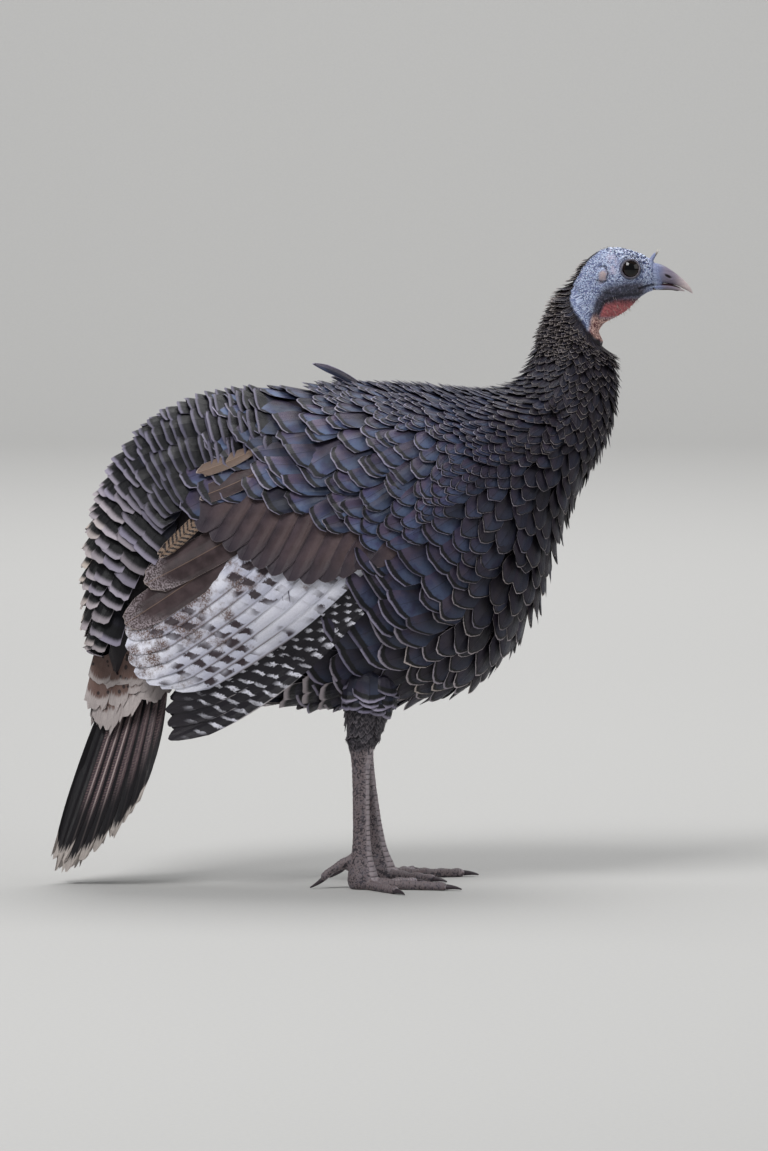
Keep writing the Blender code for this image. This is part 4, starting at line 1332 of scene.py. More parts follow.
class Finish:
    """A material, its nodes, and the values that its sums may call by name."""

    def __init__(self, name, roughness=0.5, **constants):
        self.made = bpy.data.materials.new(name)
        self.made.use_nodes = True
        self.tree = self.made.node_tree
        self.shader = self.tree.nodes["Principled BSDF"].inputs
        constants = {"Roughness": roughness, "Specular IOR Level": 0.3, **constants}
        for key, value in constants.items():
            self.shader[key.replace("_", " ")].default_value = value
        self.known = {}
        self.place = self.node("TexCoord")["Object"]

    def node(self, kind, inputs=(), **settings):
        """Adds a node: settings are its properties, inputs are values or other nodes' outputs."""
        new = self.tree.nodes.new("ShaderNode" + kind)
        for name, value in settings.items():
            setattr(new, name, value)
        for key, value in dict(inputs).items():
            if isinstance(value, bpy.types.NodeSocket):
                self.tree.links.new(value, new.inputs[key])
            else:
                new.inputs[key].default_value = value
        return new.outputs

    def read(self, attribute, *words):
        """Names an attribute's three numbers, or its only one."""
        found = self.node("Attribute", attribute_name=attribute)
        if words:
            self.known.update(zip(words, self.node("SeparateXYZ", {0: found["Vector"]})))
        else:
            self.known[attribute] = found["Fac"]

    def sum(self, text):
        """A sum in reverse Polish. "v a b step" rises smoothly from 0 to 1 while v goes from a
        to b, and "v a b c d fade" goes from c to d instead."""
        stack = []
        for word in text.split():
            if word in PAIRED:
                b, a = stack.pop(), stack.pop()
                stack.append(self.node("Math", {0: a, 1: b}, operation=PAIRED[word])[0])
            elif word in SINGLE:
                stack.append(self.node("Math", {0: stack.pop()}, operation=SINGLE[word])[0])
            elif word in ("step", "fade"):
                high, low = (stack.pop(), stack.pop()) if word == "fade" else (1.0, 0.0)
                end, start, value = stack.pop(), stack.pop(), stack.pop()
                keys = {"Value": value, "From Min": start, "From Max": end, "To Min": low, "To Max": high}
                stack.append(self.node("MapRange", keys, interpolation_type="SMOOTHSTEP")[0])
            else:
                stack.append(self.known[word] if word in self.known else float(word))
        return stack[0]

    def name(self, **sums):
        for word, text in sums.items():
            self.known[word] = self.sum(text)

    def paint(self, base, *coats):
        """Colours laid over a base in order, each as (share, colour)."""
        for share, over in coats:
            under, over = (srgb(hue) if isinstance(hue, str) else hue for hue in (base, over))
            keys = {"Factor": self.sum(share), 6: under, 7: over}
            base = self.node("Mix", keys, data_type="RGBA")[2]
        return base

    def cover(self, colour, height="", strength=0.0, depth=0.0):
        """Gives the surface its colour, and relief of a depth in mm where height is given."""
        self.tree.links.new(colour, self.shader["Base Color"])
        if height:
            keys = {"Height": self.sum(height), "Strength": strength, "Distance": depth * MM}
            self.tree.links.new(self.node("Bump", keys)[0], self.shader["Normal"])
        return self.made


# %% The marks of a vane
BARB_PITCH = 0.9


def feather(name):
    """A finish that knows a vane's numbers, its barbs, shaft, fringe, painted rim highlight and black
    band.
    """
    finish = Finish(name)
    finish.read("edge", "side", "tip", "down")
    finish.read("make", "reach", "breadth", "along")
    finish.read("tint", "warm", "pale", "wide")
    finish.read("dress", "ink", "gloss", "extra")
    finish.read("grain")
    for word, scale, detail in (("rough", 700.0, 2.0), ("broad", 90.0, 3.0)):
        keys = {"Vector": finish.place, "Scale": scale, "Detail": detail}
        finish.known[word] = finish.node("TexNoise", keys)["Fac"]
    finish.name(
        off="down abs",
        jagged="rough 0.5 - 1.6 *",
    )
    finish.name(
        barbs=f"tip off breadth * 0.55 * + rough 0.5 * + {2 * math.pi / BARB_PITCH} * sin 0.5 * 0.5 +",
        shaft="off breadth * 0.5 * 0.25 0.55 1 0 fade",
        fringe="1 side extra 7 * 4.6 + * tip min jagged + wide / - 0 0.7 step",
        rim="side 5 * tip min 0.1 0.6 0.14 0 fade",
        # rim is a painted highlight: a thin bright line along the vane's side and end.
        band="tip jagged + wide - ink 0.01 max / 0.75 1.15 1 0 fade ink 0.6 min * 1.6 *",
    )
    return finish


def strands(finish, across, along):
    """Noise drawn out along the vane, as where barbs have come apart."""
    own = finish.node("UVMap", uv_map="vane")[0]
    drawn = finish.node("Mapping", {"Vector": own, "Scale": (across, along, 1.0)})[0]
    finish.known["strand"] = finish.node("TexNoise", {"Vector": drawn, "Scale": 1.0, "Detail": 3.0})["Fac"]


def plume(finish, colour, relief):
    """Barbs shade and raise the vane, and smooth places shine more than worn ones."""
    shade = finish.sum("barbs 0.16 * 0.92 + rough 0.5 - 0.3 * + grain 0.5 - 0.16 * +")
    grey = finish.node("CombineColor", {0: shade, 1: shade, 2: shade})[0]
    keys = {"Factor": 1.0, 6: colour, 7: grey}
    shaded = finish.node("Mix", keys, data_type="RGBA", blend_type="MULTIPLY")[2]
    finish.tree.links.new(finish.sum("broad 0.3 0.7 0.38 0.5 fade"), finish.shader["Roughness"])
    return finish.cover(shaded, "barbs shaft 1.5 * + rough 0.6 * +", relief, 0.25)


# %% [markdown]
# ### Contour feathers
# A wild turkey's body feather is bronze above and steel-blue below its shaft, in bright light
# almost metallic. A velvet-black band and a lilac-grey fringe close it. Round the neck the
# fringe is thin and brown, on rump and vent it is broad and near white.

# %% Contour feather: keratin plates over black pigment, which give the bronze and blue gleam
contour = feather("contour_feather_keratin")
contour.name(lower="down grain 0.5 - 0.5 * + broad 0.5 - 1.6 * + -0.45 0.4 step")
bright = contour.paint("5b4f66", ("lower", "536282"), ("broad 0.42 0.72 0 0.7 fade", "3a345a"))
cool = contour.paint("2a2840", ("pale", "aca6c2"))
buff = contour.paint("2e2624", ("pale", "cdbfb1"))
colour = contour.paint(
    contour.paint("181928", ("warm", "1d1618")),
    ("gloss", bright),
    # Painted shade: from 8 mm behind its end the vane darkens towards the root, as where the feathers over
    # it shade it.
    ("tip 8 20 0 0.6 fade", "0d0b10"),
    ("shaft 0.35 *", "120f13"),
    ("band", "08070b"),
    ("fringe", contour.paint(cool, ("warm 0.8 * pale 0.6 - 2.2 * 0 max max", buff))),
    # Painted highlight along the vane's rim.
    ("rim", contour.paint("8b8799", ("warm", "a39488"))),
)
CONTOUR = plume(contour, colour, 0.5)

# %% Thigh feather: soft down with free barbs, which give a dull mottled grey
thigh_down = feather("thigh_feather_down")
keys = {"Vector": thigh_down.place, "Scale": 420.0, "Detail": 5.0}
thigh_down.known["fluff"] = thigh_down.node("TexNoise", keys)["Fac"]
colour = thigh_down.paint(
    "201e25",
    ("fluff 0.42 0.62 step", "4e494f"),
    ("tip 0 2.4 0.45 0 fade", "7d757a"),
    ("tip 3 9 0 0.6 fade", "17141a"),
)
THIGH = plume(thigh_down, colour, 0.5)

# %% [markdown]
# ### Wing quills
# Primaries are black-brown with white bars that stop short of the shaft. Secondaries are white,
# with brown mottling behind and rows of dark diamonds. The greater coverts are plain brown with
# a violet gloss, and tertials are barred with buff. Bars and spots are counted from the root,
# so that worn or rounded ends do not bend them.

# %% Primary: stiff dark keratin, unpigmented in bars, which reads as black and white ladders
primary = feather("primary_barred")
primary.name(phase=f"along reach * 14 / off 0.7 * + grain 5 * + broad 0.8 * + rough 0.3 * + {STRIPES}")
bars = "phase 0.64 0.82 step down 0.1 0.4 step * rough 0.3 0.5 0.55 1 fade * broad 0.36 0.56 0.45 1 fade *"
colour = primary.paint(
    "1b181f",
    (bars, "dedde8"),
    ("tip 6 30 0.9 0 fade", "2b272d"),
    ("down 0.9 0.97 0 0.7 fade", "b9b3b5"),
)
PRIMARY = plume(primary, colour, 0.5)

# %% Secondary: white keratin with brown pigment in spots and clouds, silky and pale
secondary = feather("secondary_mottled")
place = secondary.place
patchy = {"Vector": place, "Scale": 26.0, "Detail": 2.0}
cloudy = {"Vector": place, "Scale": 55.0, "Detail": 5.0, "Roughness": 0.65}
secondary.known["patchy"] = secondary.node("TexNoise", patchy)["Fac"]
secondary.known["cloudy"] = secondary.node("TexNoise", cloudy)["Fac"]
secondary.name(
    phase=f"along reach * 17 / down 0.7 * + grain 3 * + broad 0.7 * + rough 0.25 * + {STRIPES}",
    web="down rough 0.3 * + 0.42 0.58 step down 0.78 0.9 1 0 fade *",
    cloud="cloudy extra 0.2 * + along 0.3 0.95 step 0.06 * +",
)
colour = secondary.paint(
    "eeeef8",
    ("patchy 0.35 0.65 step", "cfd0e0"),
    ("down 0.2 1 0 0.45 fade", "9c9db2"),
    ("cloud 0.62 0.82 step rough 0.38 0.56 0.4 1 fade *", "665049"),
    ("phase 0.44 0.62 step web * patchy 0.42 0.56 step *", "3a2f35"),
    ("down 0.88 0.98 0 0.75 fade", "5a4a48"),
    ("shaft 0.35 *", "8d8690"),
)
SECONDARY = plume(secondary, colour, 0.7)

# %% Greater covert: plain brown keratin, glossy, with paler worn edges
covert = feather("greater_covert_plain")
colour = covert.paint(
    "352b31",
    ("broad 0.3 0.7 step", "4b3e44"),
    ("down 0 0.8 0 0.5 fade", "614e4c"),
    ("down 0.88 0.98 0 0.6 fade", "2a2226"),
    ("tip 2 26 0.55 0 fade", "38343e"),
    ("fringe 0.5 *", "7d7276"),
)
GREATER_COVERT = plume(covert, colour, 0.8)

# %% Tertial: brown keratin, barred on the inner ones, with sun-bleached streaky ends
tertial = feather("tertial_barred")
tertial.name(phase=f"along reach * 4.6 / off 1.1 * + rough 0.8 * + {STRIPES}")
streaked = tertial.paint("4f4344", ("rough 0.42 0.58 step", "9a8e93"))
colour = tertial.paint(
    "35292b",
    ("broad 0.3 0.7 step", "4b3d3f"),
    ("tip 6 26 1 0 fade extra 0.11 0.14 1 0 fade *", streaked),
    ("extra 0.3 0.9 step", "86705f"),
    ("phase 0.45 0.7 step extra 0.6 0.8 step *", "211a1d"),
    ("shaft 0.5 *", "8c7464"),
    ("fringe 0.8 *", "b0a29c"),
)
TERTIAL = plume(tertial, colour, 0.7)

# %% [markdown]
# ### Tail
# The tail feathers are dark with fine chestnut vermiculation, a black band and a worn pale end.
# The coverts over them are cinnamon with dark spots and broad buff-white ends.

# %% Tail feather: stiff dark keratin with fine wavy lines, and a frayed pale end
tail = feather("tail_vermiculated")
strands(tail, 22.0, 5.0)
tail.name(phase=f"tip 2.6 / off 0.8 * + broad 1.4 * + {STRIPES}")
web = tail.paint("40333a", ("phase 0.4 0.7 step rough 0.3 0.6 step *", "715e5c"))
quill = "down 0.62 - abs 0.03 0.08 1 0 fade tip 40 80 0.1 0.7 fade * grain 0.25 0.75 0.25 1 fade *"
colour = tail.paint(
    "120f14",
    ("down 0.28 0.36 step down 0.74 0.86 1 0 fade * tip 40 75 step *", web),
    (quill, "b9a9a6"),
    ("tip strand 0.5 - 34 * + 9 15 1 0 fade", tail.paint("877f80", ("strand", "ddd2c8"))),
    # Painted highlight along the vane's rim.
    ("rim", "a99c94"),
)
TAIL = plume(tail, colour, 0.7)

# %% Tail covert: soft cinnamon keratin with dark dots, and a loose buff-white end
tail_covert = feather("tail_covert_soft")
strands(tail_covert, 26.0, 2.2)
dots = {"Vector": tail_covert.place, "Scale": 130.0}
tail_covert.known["dots"] = tail_covert.node("TexVoronoi", dots)[0]
colour = tail_covert.paint(
    "7c6258",
    ("broad", "5b4745"),
    ("dots 0.2 0.3 1 0 fade 0.85 *", "1b1519"),
    ("tip wide - strand 0.5 - 14 * + -2 3 1 0 fade", tail_covert.paint("857a7c", ("strand", "d2c8c4"))),
)
TAIL_COVERT = plume(tail_covert, colour, 0.7)
plumage = (CONTOUR, THIGH, PRIMARY, SECONDARY, GREATER_COVERT, TERTIAL, TAIL, TAIL_COVERT)
print("feather finishes:", [finish.name for finish in plumage])

# %% [markdown]
# ## Eyes, lids, bill and claws
# The eye is a wet dark ball under pale lids, and its clear cornea stands up from it. The bill is
# horn: its upper half hooks over the lower, with a slanted nostril in soft skin at its base.
# Claws are short dark horn. Bill and claws are their own solids, subdivided until smooth.

# %% Eyes and lids
EYE_FIT, CORNEA_RADIUS, CORNEA_HIGH = 0.985, 6.6, 0.6
LID_RADIUS, LID_THICK, LID_PROUD = 7.85, 0.42, 0.35
SIDEWAYS = (math.pi / 2, 0, 0)
lid_out = EYE_HALF[1] * math.sqrt(1 - (LID_RADIUS / EYE_HALF[0]) ** 2) + LID_PROUD
eyes, lids = {}, {}
for side, out in SIDES.items():
    centre = Vector((EYE[0], out * abs(EYE[1]), EYE[2])) * MM
    bpy.ops.object.select_all(action="DESELECT")
    bpy.ops.mesh.primitive_uv_sphere_add(
        segments=48, ring_count=24, radius=1, location=centre, rotation=SIDEWAYS,
        scale=[EYE_HALF[i] * EYE_FIT * MM for i in (0, 2, 1)],
    )
    eyes[side] = added(f"eye_{side}_ball")
    globe = vertices_of(eyes[side]) / MM
    bulge = np.clip(1 - (from_eye(globe) / CORNEA_RADIUS) ** 2, 0, 1)
    globe[:, 1] += out * CORNEA_HIGH * bulge * (out * globe[:, 1] > abs(EYE[1]))
    move_vertices(eyes[side], globe * MM)
    bpy.ops.object.select_all(action="DESELECT")
    bpy.ops.mesh.primitive_torus_add(
        major_segments=64, minor_segments=12, major_radius=LID_RADIUS * MM, minor_radius=LID_THICK * MM,
        location=centre + Vector((0, out * lid_out * MM, 0)), rotation=SIDEWAYS,
    )
    lids[side] = added(f"eyelid_{side}")
    ring = vertices_of(lids[side]) / MM
    way = ring[:, [0, 2]] - EYE[[0, 2]]
    turn = np.arctan2(way[:, 1], way[:, 0])
    heavy = 1 + 0.35 * np.sin(turn) + 0.08 * np.sin(7 * turn) + 0.06 * np.sin(11 * turn + 1)
    middle = LID_RADIUS * np.stack([np.cos(turn), np.sin(turn)], 1)
    oval = middle * (1 + 0.02 * np.sin(2 * turn)[:, None])
    ring[:, [0, 2]] = EYE[[0, 2]] + oval + (way - middle) * heavy[:, None]
    ring[:, 1] -= out * 0.2 * np.cos(turn)
    move_vertices(lids[side], ring * MM)
    print(side, "eye and lid:", triangles(eyes[side]) + triangles(lids[side]), "triangles")

# %% The bill, from its solids
# The nostril's middle, slope and half size, in mm along it and across it.
NOSTRIL, NOSTRIL_SLOPE = np.array([265.3, 547.9]), math.radians(-28)
NOSTRIL_LONG, NOSTRIL_WIDE = 3.6, 1.25
slope = np.array([math.cos(NOSTRIL_SLOPE), math.sin(NOSTRIL_SLOPE)])
bill = {half: copy_of(f"bill_{half}", f"bill_{half}_horn", 3) for half in ("upper", "lower")}
for half, piece in bill.items():
    p = vertices_of(piece) / MM
    n = vertex_normals(piece)
    way = p[:, [0, 2]] - NOSTRIL
    gap = np.hypot(way @ slope / NOSTRIL_LONG, way @ np.array([-slope[1], slope[0]]) / NOSTRIL_WIDE)
    height = 0.35 * hump(gap, 1.5, 0.35) - 1.3 * (1 - ramp(gap, 0.6, 1.1))
    height += 0.05 * np.sin(p[:, 0] * 3.3 + p[:, 2] * 1.2)
    height *= ramp(np.abs(n[:, 1]), 0.2, 0.5)
    move_vertices(piece, (p + n * height[:, None]) * MM)
    # The nostril's opening is painted near black, as shade in the hole.
    store(piece, "nostril_shade", 1 - ramp(gap, 0.7, 1.15))
    print(piece.name, triangles(piece), "triangles")

# %% The mouth between the halves, a dark lump that stands for the shade inside
LINING_LOW, LINING_HIGH = np.array([243.0, -4.2, 535.5]), np.array([277.0, 4.2, 541.6])
bpy.ops.object.select_all(action="DESELECT")
bpy.ops.mesh.primitive_uv_sphere_add(segments=24, ring_count=12, radius=1)
mouth_lining = added("mouth_lining")
ball = vertices_of(mouth_lining)
ball = np.sign(ball) * np.abs(ball) ** 0.8
places = (LINING_LOW + LINING_HIGH) / 2 + ball * (LINING_HIGH - LINING_LOW) / 2
places[:, 1] *= 1 - 0.45 * ramp(places[:, 0], 255, 277)
places[:, 2] -= 2.2 * ramp(places[:, 0], 266, 277)
move_vertices(mouth_lining, places * MM)
print("mouth lining", triangles(mouth_lining), "triangles")

# %% Claws, from their solids, with their bases drawn back into the toes
CLAW_ROOT = 1.6
claw_nodes = [node for node in sorted(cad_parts) if node.startswith("claw_")]
claw_pieces = [copy_of(node, node + "_horn", 2) for node in claw_nodes]
for piece in claw_pieces:
    p = vertices_of(piece) / MM
    foot = sum(box_of("leg_left" if p[:, 1].mean() > 0 else "leg_right")) / 2
    foot[2] = p[:, 2].mean()
    gap = np.linalg.norm(p - foot, axis=1)
    base, tip = p[gap.argmin()], p[gap.argmax()]
    way = unit(tip - base)
    share = 1 - ramp((p - base) @ way, 0, np.linalg.norm(tip - base) * 0.6)
    move_vertices(piece, (p - way * CLAW_ROOT * share[:, None]) * MM)
claws = joined("claws", *claw_pieces)
print("claws:", len(claw_nodes), "with", triangles(claws), "triangles")

# %% [markdown]
# ## Bristles
# Thin hair-like feathers stand on the bare skin: dark ones over crown and nape, pale ones under
# the throat, and a tuft at the tip of the snood. Each is a four-sided spike, cut once across so
# that it can bend.

# %% Model one bristle
bpy.ops.object.select_all(action="DESELECT")
bpy.ops.mesh.primitive_cone_add(vertices=4, radius1=1, radius2=0.12, depth=1, location=(0, 0, 0.5))
spike = added("bristle")
with edit_mode(spike):
    bpy.ops.mesh.bisect(plane_co=(0, 0, 0.5), plane_no=(0, 0, 1))
x, y, z = vertices_of(spike).T
BRISTLE = shape_of(spike, x, z, y)
# In mm: the height that the map unrolls the head round, and its span from back to front.
HEAD_AXIS_HIGH, HEAD_BACK, HEAD_FRONT = 540, 170, 275


def bristles(name, roots, ways, length, thick, droop):
    """Spikes from roots along ways, in mm, bending down by droop of their length."""
    ways = unit(ways)
    first = unit(np.cross(ways, [0.3, 0.2, 0.93]))
    second = np.cross(ways, first)
    a, l, s = (BRISTLE[key][None, :, None] for key in ("across", "along", "side"))
    length = np.broadcast_to(length, len(roots))[:, None, None]
    places = (
        roots[:, None]
        + ways[:, None] * (l * length)
        + (first[:, None] * a + second[:, None] * s) * thick
        + np.array([0, 0, -1.0]) * droop * l**2 * length
    )
    turn = np.arctan2(roots[:, 1], roots[:, 2] - HEAD_AXIS_HIGH) / (2 * math.pi) + 0.5
    ahead = np.clip((roots[:, 0] - HEAD_BACK) / (HEAD_FRONT - HEAD_BACK), 0, 1)
    patch = 0.01 + 0.98 * np.stack([turn, ahead], 1)
    return many(name, BRISTLE, places * MM, patch, grain=rng.random(len(roots))[:, None])


# %% Plant the bristles
DARK, PALE_ONES, TUFT = 260, 90, 9
skin_at, skin_out = vertices_of(skin) / MM, vertex_normals(skin)
crown, throat = zones["zone_top"][:, 0], zones["zone_low"][:, 0]


def planted(weight, count):
    """Picks count vertices by chance, each as likely as its weight."""
    weight = weight + 1e-9
    return rng.choice(len(weight), count, replace=False, p=weight / weight.sum())


above = (skin_at[:, 2] > 535) * (from_eye(skin_at) > 10.5) * (skin_at[:, 0] < 248)
spots = planted((0.25 * bare + 2.5 * crown) * (1 - throat) * above, DARK)
ways = skin_out[spots] * 0.7 + np.array([-1.0, 0, -0.25])
dark_bristles = bristles("dark_bristles", skin_at[spots], ways, rng.uniform(1.4, 3.0, DARK), 0.13, 0.1)
spots = planted(throat * ramp(-skin_out[:, 2], 0.1, 0.8) * bare, PALE_ONES)
ways = skin_out[spots] + np.array([0.4, 0, -0.4])
length = rng.uniform(2.0, 4.2, PALE_ONES)
pale_bristles = bristles("pale_bristles", skin_at[spots], ways, length, 0.16, 0.15)
ways = snood_way + rng.normal(0, 0.13, (TUFT, 3))
roots = SNOOD_TIP - snood_way * 2.5 + rng.normal(0, 0.35, (TUFT, 3))
snood_tuft = bristles("snood_tuft", roots, ways, rng.uniform(5.0, 8.5, TUFT), 0.34, 0.0)

# %% [markdown]
# ## Skin, horn and eye finishes
# The head skin is thin and bloodless blue over the caruncles, whitish on top, with red in the
# throat where blood shows through. Legs are dull pinkish-grey horn with dark grooves. The zones
# stored on the skin say where each colour lies, and three sizes of noise break them up.

# %% Skin: living skin over caruncles, matt and pebbled, which lets a little light sink in
light_sinks = {"Subsurface Weight": 0.08, "Subsurface Scale": 0.002, "Subsurface Radius": (1.0, 0.4, 0.3)}
bare_skin = Finish("bare_pebbled_skin", 0.55, **light_sinks)
place = bare_skin.place
bare_skin.read("zone_top", "crown", "ear", "streak")
bare_skin.read("zone_low", "throat", "neck_front", "cheek")
bare_skin.read("zone_fine", "lid", "plate", "crease")
for share in shares:
    bare_skin.read(share)
for word, scale, detail in (("mottle", 160.0, 4.0), ("speck", 520.0, 3.0)):
    keys = {"Vector": place, "Scale": scale, "Detail": detail}
    bare_skin.known[word] = bare_skin.node("TexNoise", keys)["Fac"]
pebbles = {"Vector": place, "Scale": 640.0}
bare_skin.known["pebble"] = bare_skin.node("TexVoronoi", pebbles, feature="DISTANCE_TO_EDGE")[0]
bare_skin.known["up"] = bare_skin.node("SeparateXYZ", {0: place})[2]
# The second sum rises from 0 at 529 mm high to 1 at 519 mm: it lifts the throat's red out of a painted
# shadow under the cheek fold.
bare_skin.name(tops="plate speck 0.5 - 0.7 * + 0.05 0.5 step", low_down="up 0.529 0.519 step")
blue = bare_skin.paint("515a7e", ("tops", "b4bfd8"), ("mottle 0.4 0.65 0 0.4 fade", "7a83a8"))
whitish = bare_skin.paint("20253c", ("speck 0.4 0.5 step", "c9d2e8"))
head_colour = bare_skin.paint(
    blue,
    ("crown 0.9 *", bare_skin.paint("39436a", ("tops 0.05 0.4 step", whitish))),
    ("streak 0.6 *", "c3b9cc"),
    ("ear 0.95 *", bare_skin.paint("8f8290", ("mottle", "c2aea8"))),
    # The throat's dark red top is a painted shadow under the cheek; it lightens downwards.
    ("throat", bare_skin.paint("4f2a31", ("low_down 0.7 * tops 0.3 * + mottle + 0.55 -", "b9696c"))),
    ("cheek 0.92 *", bare_skin.paint("2a2934", ("speck 0.5 0.68 step", "5f5c6e"))),
    ("neck_front", bare_skin.paint("6a3f42", ("tops", "d8b3a8"))),
    ("lid", bare_skin.paint("3d3a46", ("mottle", "6a6672"))),
    ("cere_share 0.85 *", bare_skin.paint("6c7498", ("mottle", "949cbb"))),
    # Painted shade in the creases and folds, and along the gape.
    ("crease 0.85 *", "1f1d29"),
)
leg_colour = bare_skin.paint(
    "3a353a",
    ("plate speck 0.5 - 0.5 * + 0.15 0.6 step", "726769"),
    # Painted highlight down the front of the shank, on its plates.
    ("front_share plate 0.9 * *", "aba0a4"),
    ("mottle 0.45 0.7 0 0.35 fade", "5d5964"),
)
under_coat = bare_skin.paint("17131a", ("mottle", "241d22"))
colour = bare_skin.paint(under_coat, ("bare_share", head_colour), ("leg_share", leg_colour))
SKIN = bare_skin.cover(colour, "pebble 2.2 * speck 0.7 * +", 0.5, 0.3)

# %% Eye: wet cornea over a black pupil and a very dark brown iris, which gives one sharp glint
PUPIL, IRIS = 5.0, 6.6
wet_eye = Finish("wet_eye", 0.05, Coat_Weight=0.3, Coat_Roughness=0.02, IOR=1.38)
middle = (EYE[0] * MM, 0, EYE[2] * MM)
shifted = wet_eye.node("VectorMath", {0: wet_eye.place, 1: middle}, operation="SUBTRACT")[0]
flat = wet_eye.node("VectorMath", {0: shifted, 1: (1 / MM, 0, 1 / MM)}, operation="MULTIPLY")[0]
wet_eye.known["radius"] = wet_eye.node("VectorMath", {0: flat}, operation="LENGTH")["Value"]
wet_eye.known["fibre"] = wet_eye.node("TexNoise", {"Vector": flat, "Scale": 1.6, "Detail": 3.0})["Fac"]
colour = wet_eye.paint(
    "030304",
    (f"radius {PUPIL} {PUPIL + 0.6} step", wet_eye.paint("0b0706", ("fibre", "1f130d"))),
    (f"radius {IRIS} {IRIS + 0.7} step", "0c0809"),
)
EYE_FINISH = wet_eye.cover(colour)

# %% Lid: thin wrinkled skin, pale below, with painted shade along its top
eyelid = Finish("eyelid_skin", 0.45)
wrinkles = {"Vector": eyelid.place, "Scale": 900.0, "Detail": 3.0}
eyelid.known["mottle"] = eyelid.node("TexNoise", wrinkles)["Fac"]
eyelid.known["up"] = eyelid.node("SeparateXYZ", {0: eyelid.place})[2]
# Painted shade: the lid darkens towards its top.
shaded = f"up {(EYE[2] + 2) * MM} {(EYE[2] + 8) * MM} 0 0.8 fade"
colour = eyelid.paint("56525c", ("mottle 0.35 0.65 step", "928d97"), (shaded, "28262e"))
LID = eyelid.cover(colour, "mottle", 0.5, 0.2)

# %% Bill: horn grown in long fibres, blue-grey at the base and worn pale at the hook
bill_horn = Finish("bill_horn", 0.38)
bill_horn.known["ahead"] = bill_horn.node("SeparateXYZ", {0: bill_horn.place})[0]
drawn = bill_horn.node("Mapping", {"Vector": bill_horn.place, "Scale": (90, 420, 420)})[0]
fibres = {"Vector": drawn, "Scale": 1.0, "Detail": 4.0}
bill_horn.known["grain"] = bill_horn.node("TexNoise", fibres)["Fac"]
bill_horn.read("nostril_shade")
bill_horn.name(way="ahead 1000 * grain 5 * +")
colour = bill_horn.paint(
    bill_horn.paint("5d6789", ("grain", "8890b0")),
    ("way 256 268 step", bill_horn.paint("625b6b", ("grain", "8d8494"))),
    ("way 270 286 step", bill_horn.paint("a3939a", ("grain", "d6c8c2"))),
    # Painted shade in the nostril's opening.
    ("nostril_shade", "1d161b"),
)
BILL = bill_horn.cover(colour, "grain", 0.35, 0.2)

# %% Claw horn, dark and worn smooth, and the mouth's folds, painted dark as shade


def clouded(name, roughness, scale, dark, light, strength, depth):
    """Two colours of one thing in soft clouds, raised where it is light."""
    finish = Finish(name, roughness)
    keys = {"Vector": finish.place, "Scale": scale, "Detail": 3.0}
    finish.known["cloud"] = finish.node("TexNoise", keys)["Fac"]
    return finish.cover(finish.paint(dark, ("cloud", light)), "cloud", strength, depth)


CLAW = clouded("claw_horn", 0.35, 300.0, "1f1a1e", "4d4349", 0.3, 0.2)
# The mouth lining's near black is painted shade inside the open bill.
MOUTH_SHADE = clouded("mouth_lining_painted_shade", 0.4, 500.0, "120b0e", "3a2025", 0.4, 0.3)

# %% Bristle: a bare keratin shaft, which changes colour from its root to its tip


def bristle_keratin(name, root, tip):
    finish = Finish(name)
    own = finish.node("UVMap", uv_map="vane")[0]
    finish.known["along"] = finish.node("SeparateXYZ", {0: own})[1]
    return finish.cover(finish.paint(root, ("along", tip)))


DARK_BRISTLE = bristle_keratin("dark_bristle_keratin", "2b2024", "0e0b0d")
PALE_BRISTLE = bristle_keratin("pale_bristle_keratin", "8f8480", "d9d3c6")
bare_finishes = (SKIN, EYE_FINISH, LID, BILL, CLAW, MOUTH_SHADE, DARK_BRISTLE, PALE_BRISTLE)
print("bare finishes:", [finish.name for finish in bare_finishes])

# %% [markdown]
# ## Dressing the bird
# Each piece takes its finish and rides on the bird's one body. It also says which solids it
# stands for, so those are no longer drawn. The skin stands for head, neck, trunk and legs at
# once, and wing and tail solids give way to their quills.

# %% Give every piece its finish and body


def dress(piece, finish, slot, *replaced):
    piece.data.materials.clear()
    piece.data.materials.append(finish)
    piece.data.shade_smooth()
    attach(piece, "root")
    if replaced:
        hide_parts(*replaced)


dress(skin, SKIN, "bare_skin", *HEAD_NODES, "trunk", *THIGH_NODES, *LEG_NODES)
for half, piece in bill.items():
    dress(piece, BILL, "bill_horn", f"bill_{half}")
dress(mouth_lining, MOUTH_SHADE, "bare_skin")
dress(claws, CLAW, "claw", *claw_nodes)
dress(dark_bristles, DARK_BRISTLE, "dark_feather")
dress(pale_bristles, PALE_BRISTLE, "dark_feather")
dress(snood_tuft, PALE_BRISTLE, "dark_feather")
body_coats = (neck_coat, ruff_coat, breast_coat, body_coat, rump_coat, stray_coat, vent_coat)
for piece in (*body_coats, *thigh_skirts):
    dress(piece, CONTOUR, "dark_feather")
for piece in thigh_coats:
    dress(piece, THIGH, "thigh_feather")
for side in SIDES:
    dress(eyes[side], EYE_FINISH, "eye", f"eye_{side}")
    dress(lids[side], LID, "bare_skin")
    primaries, secondaries, tertials, coverts = wing_quills[side]
    dress(primaries, PRIMARY, "wing_feather", f"wing_{side}")
    dress(secondaries, SECONDARY, "wing_feather", f"wing_{side}")
    dress(tertials, TERTIAL, "wing_feather")
    dress(coverts, GREATER_COVERT, "wing_feather")
    quills, tail_coverts = tail_pieces[side]
    dress(quills, TAIL, "tail_feather", "tail")
    dress(tail_coverts, TAIL_COVERT, "covert_feather", "tail_coverts")
dressed = [piece for piece in bpy.data.objects if piece.type == "MESH" and piece.data.materials]
shown = [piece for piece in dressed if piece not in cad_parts.values()]
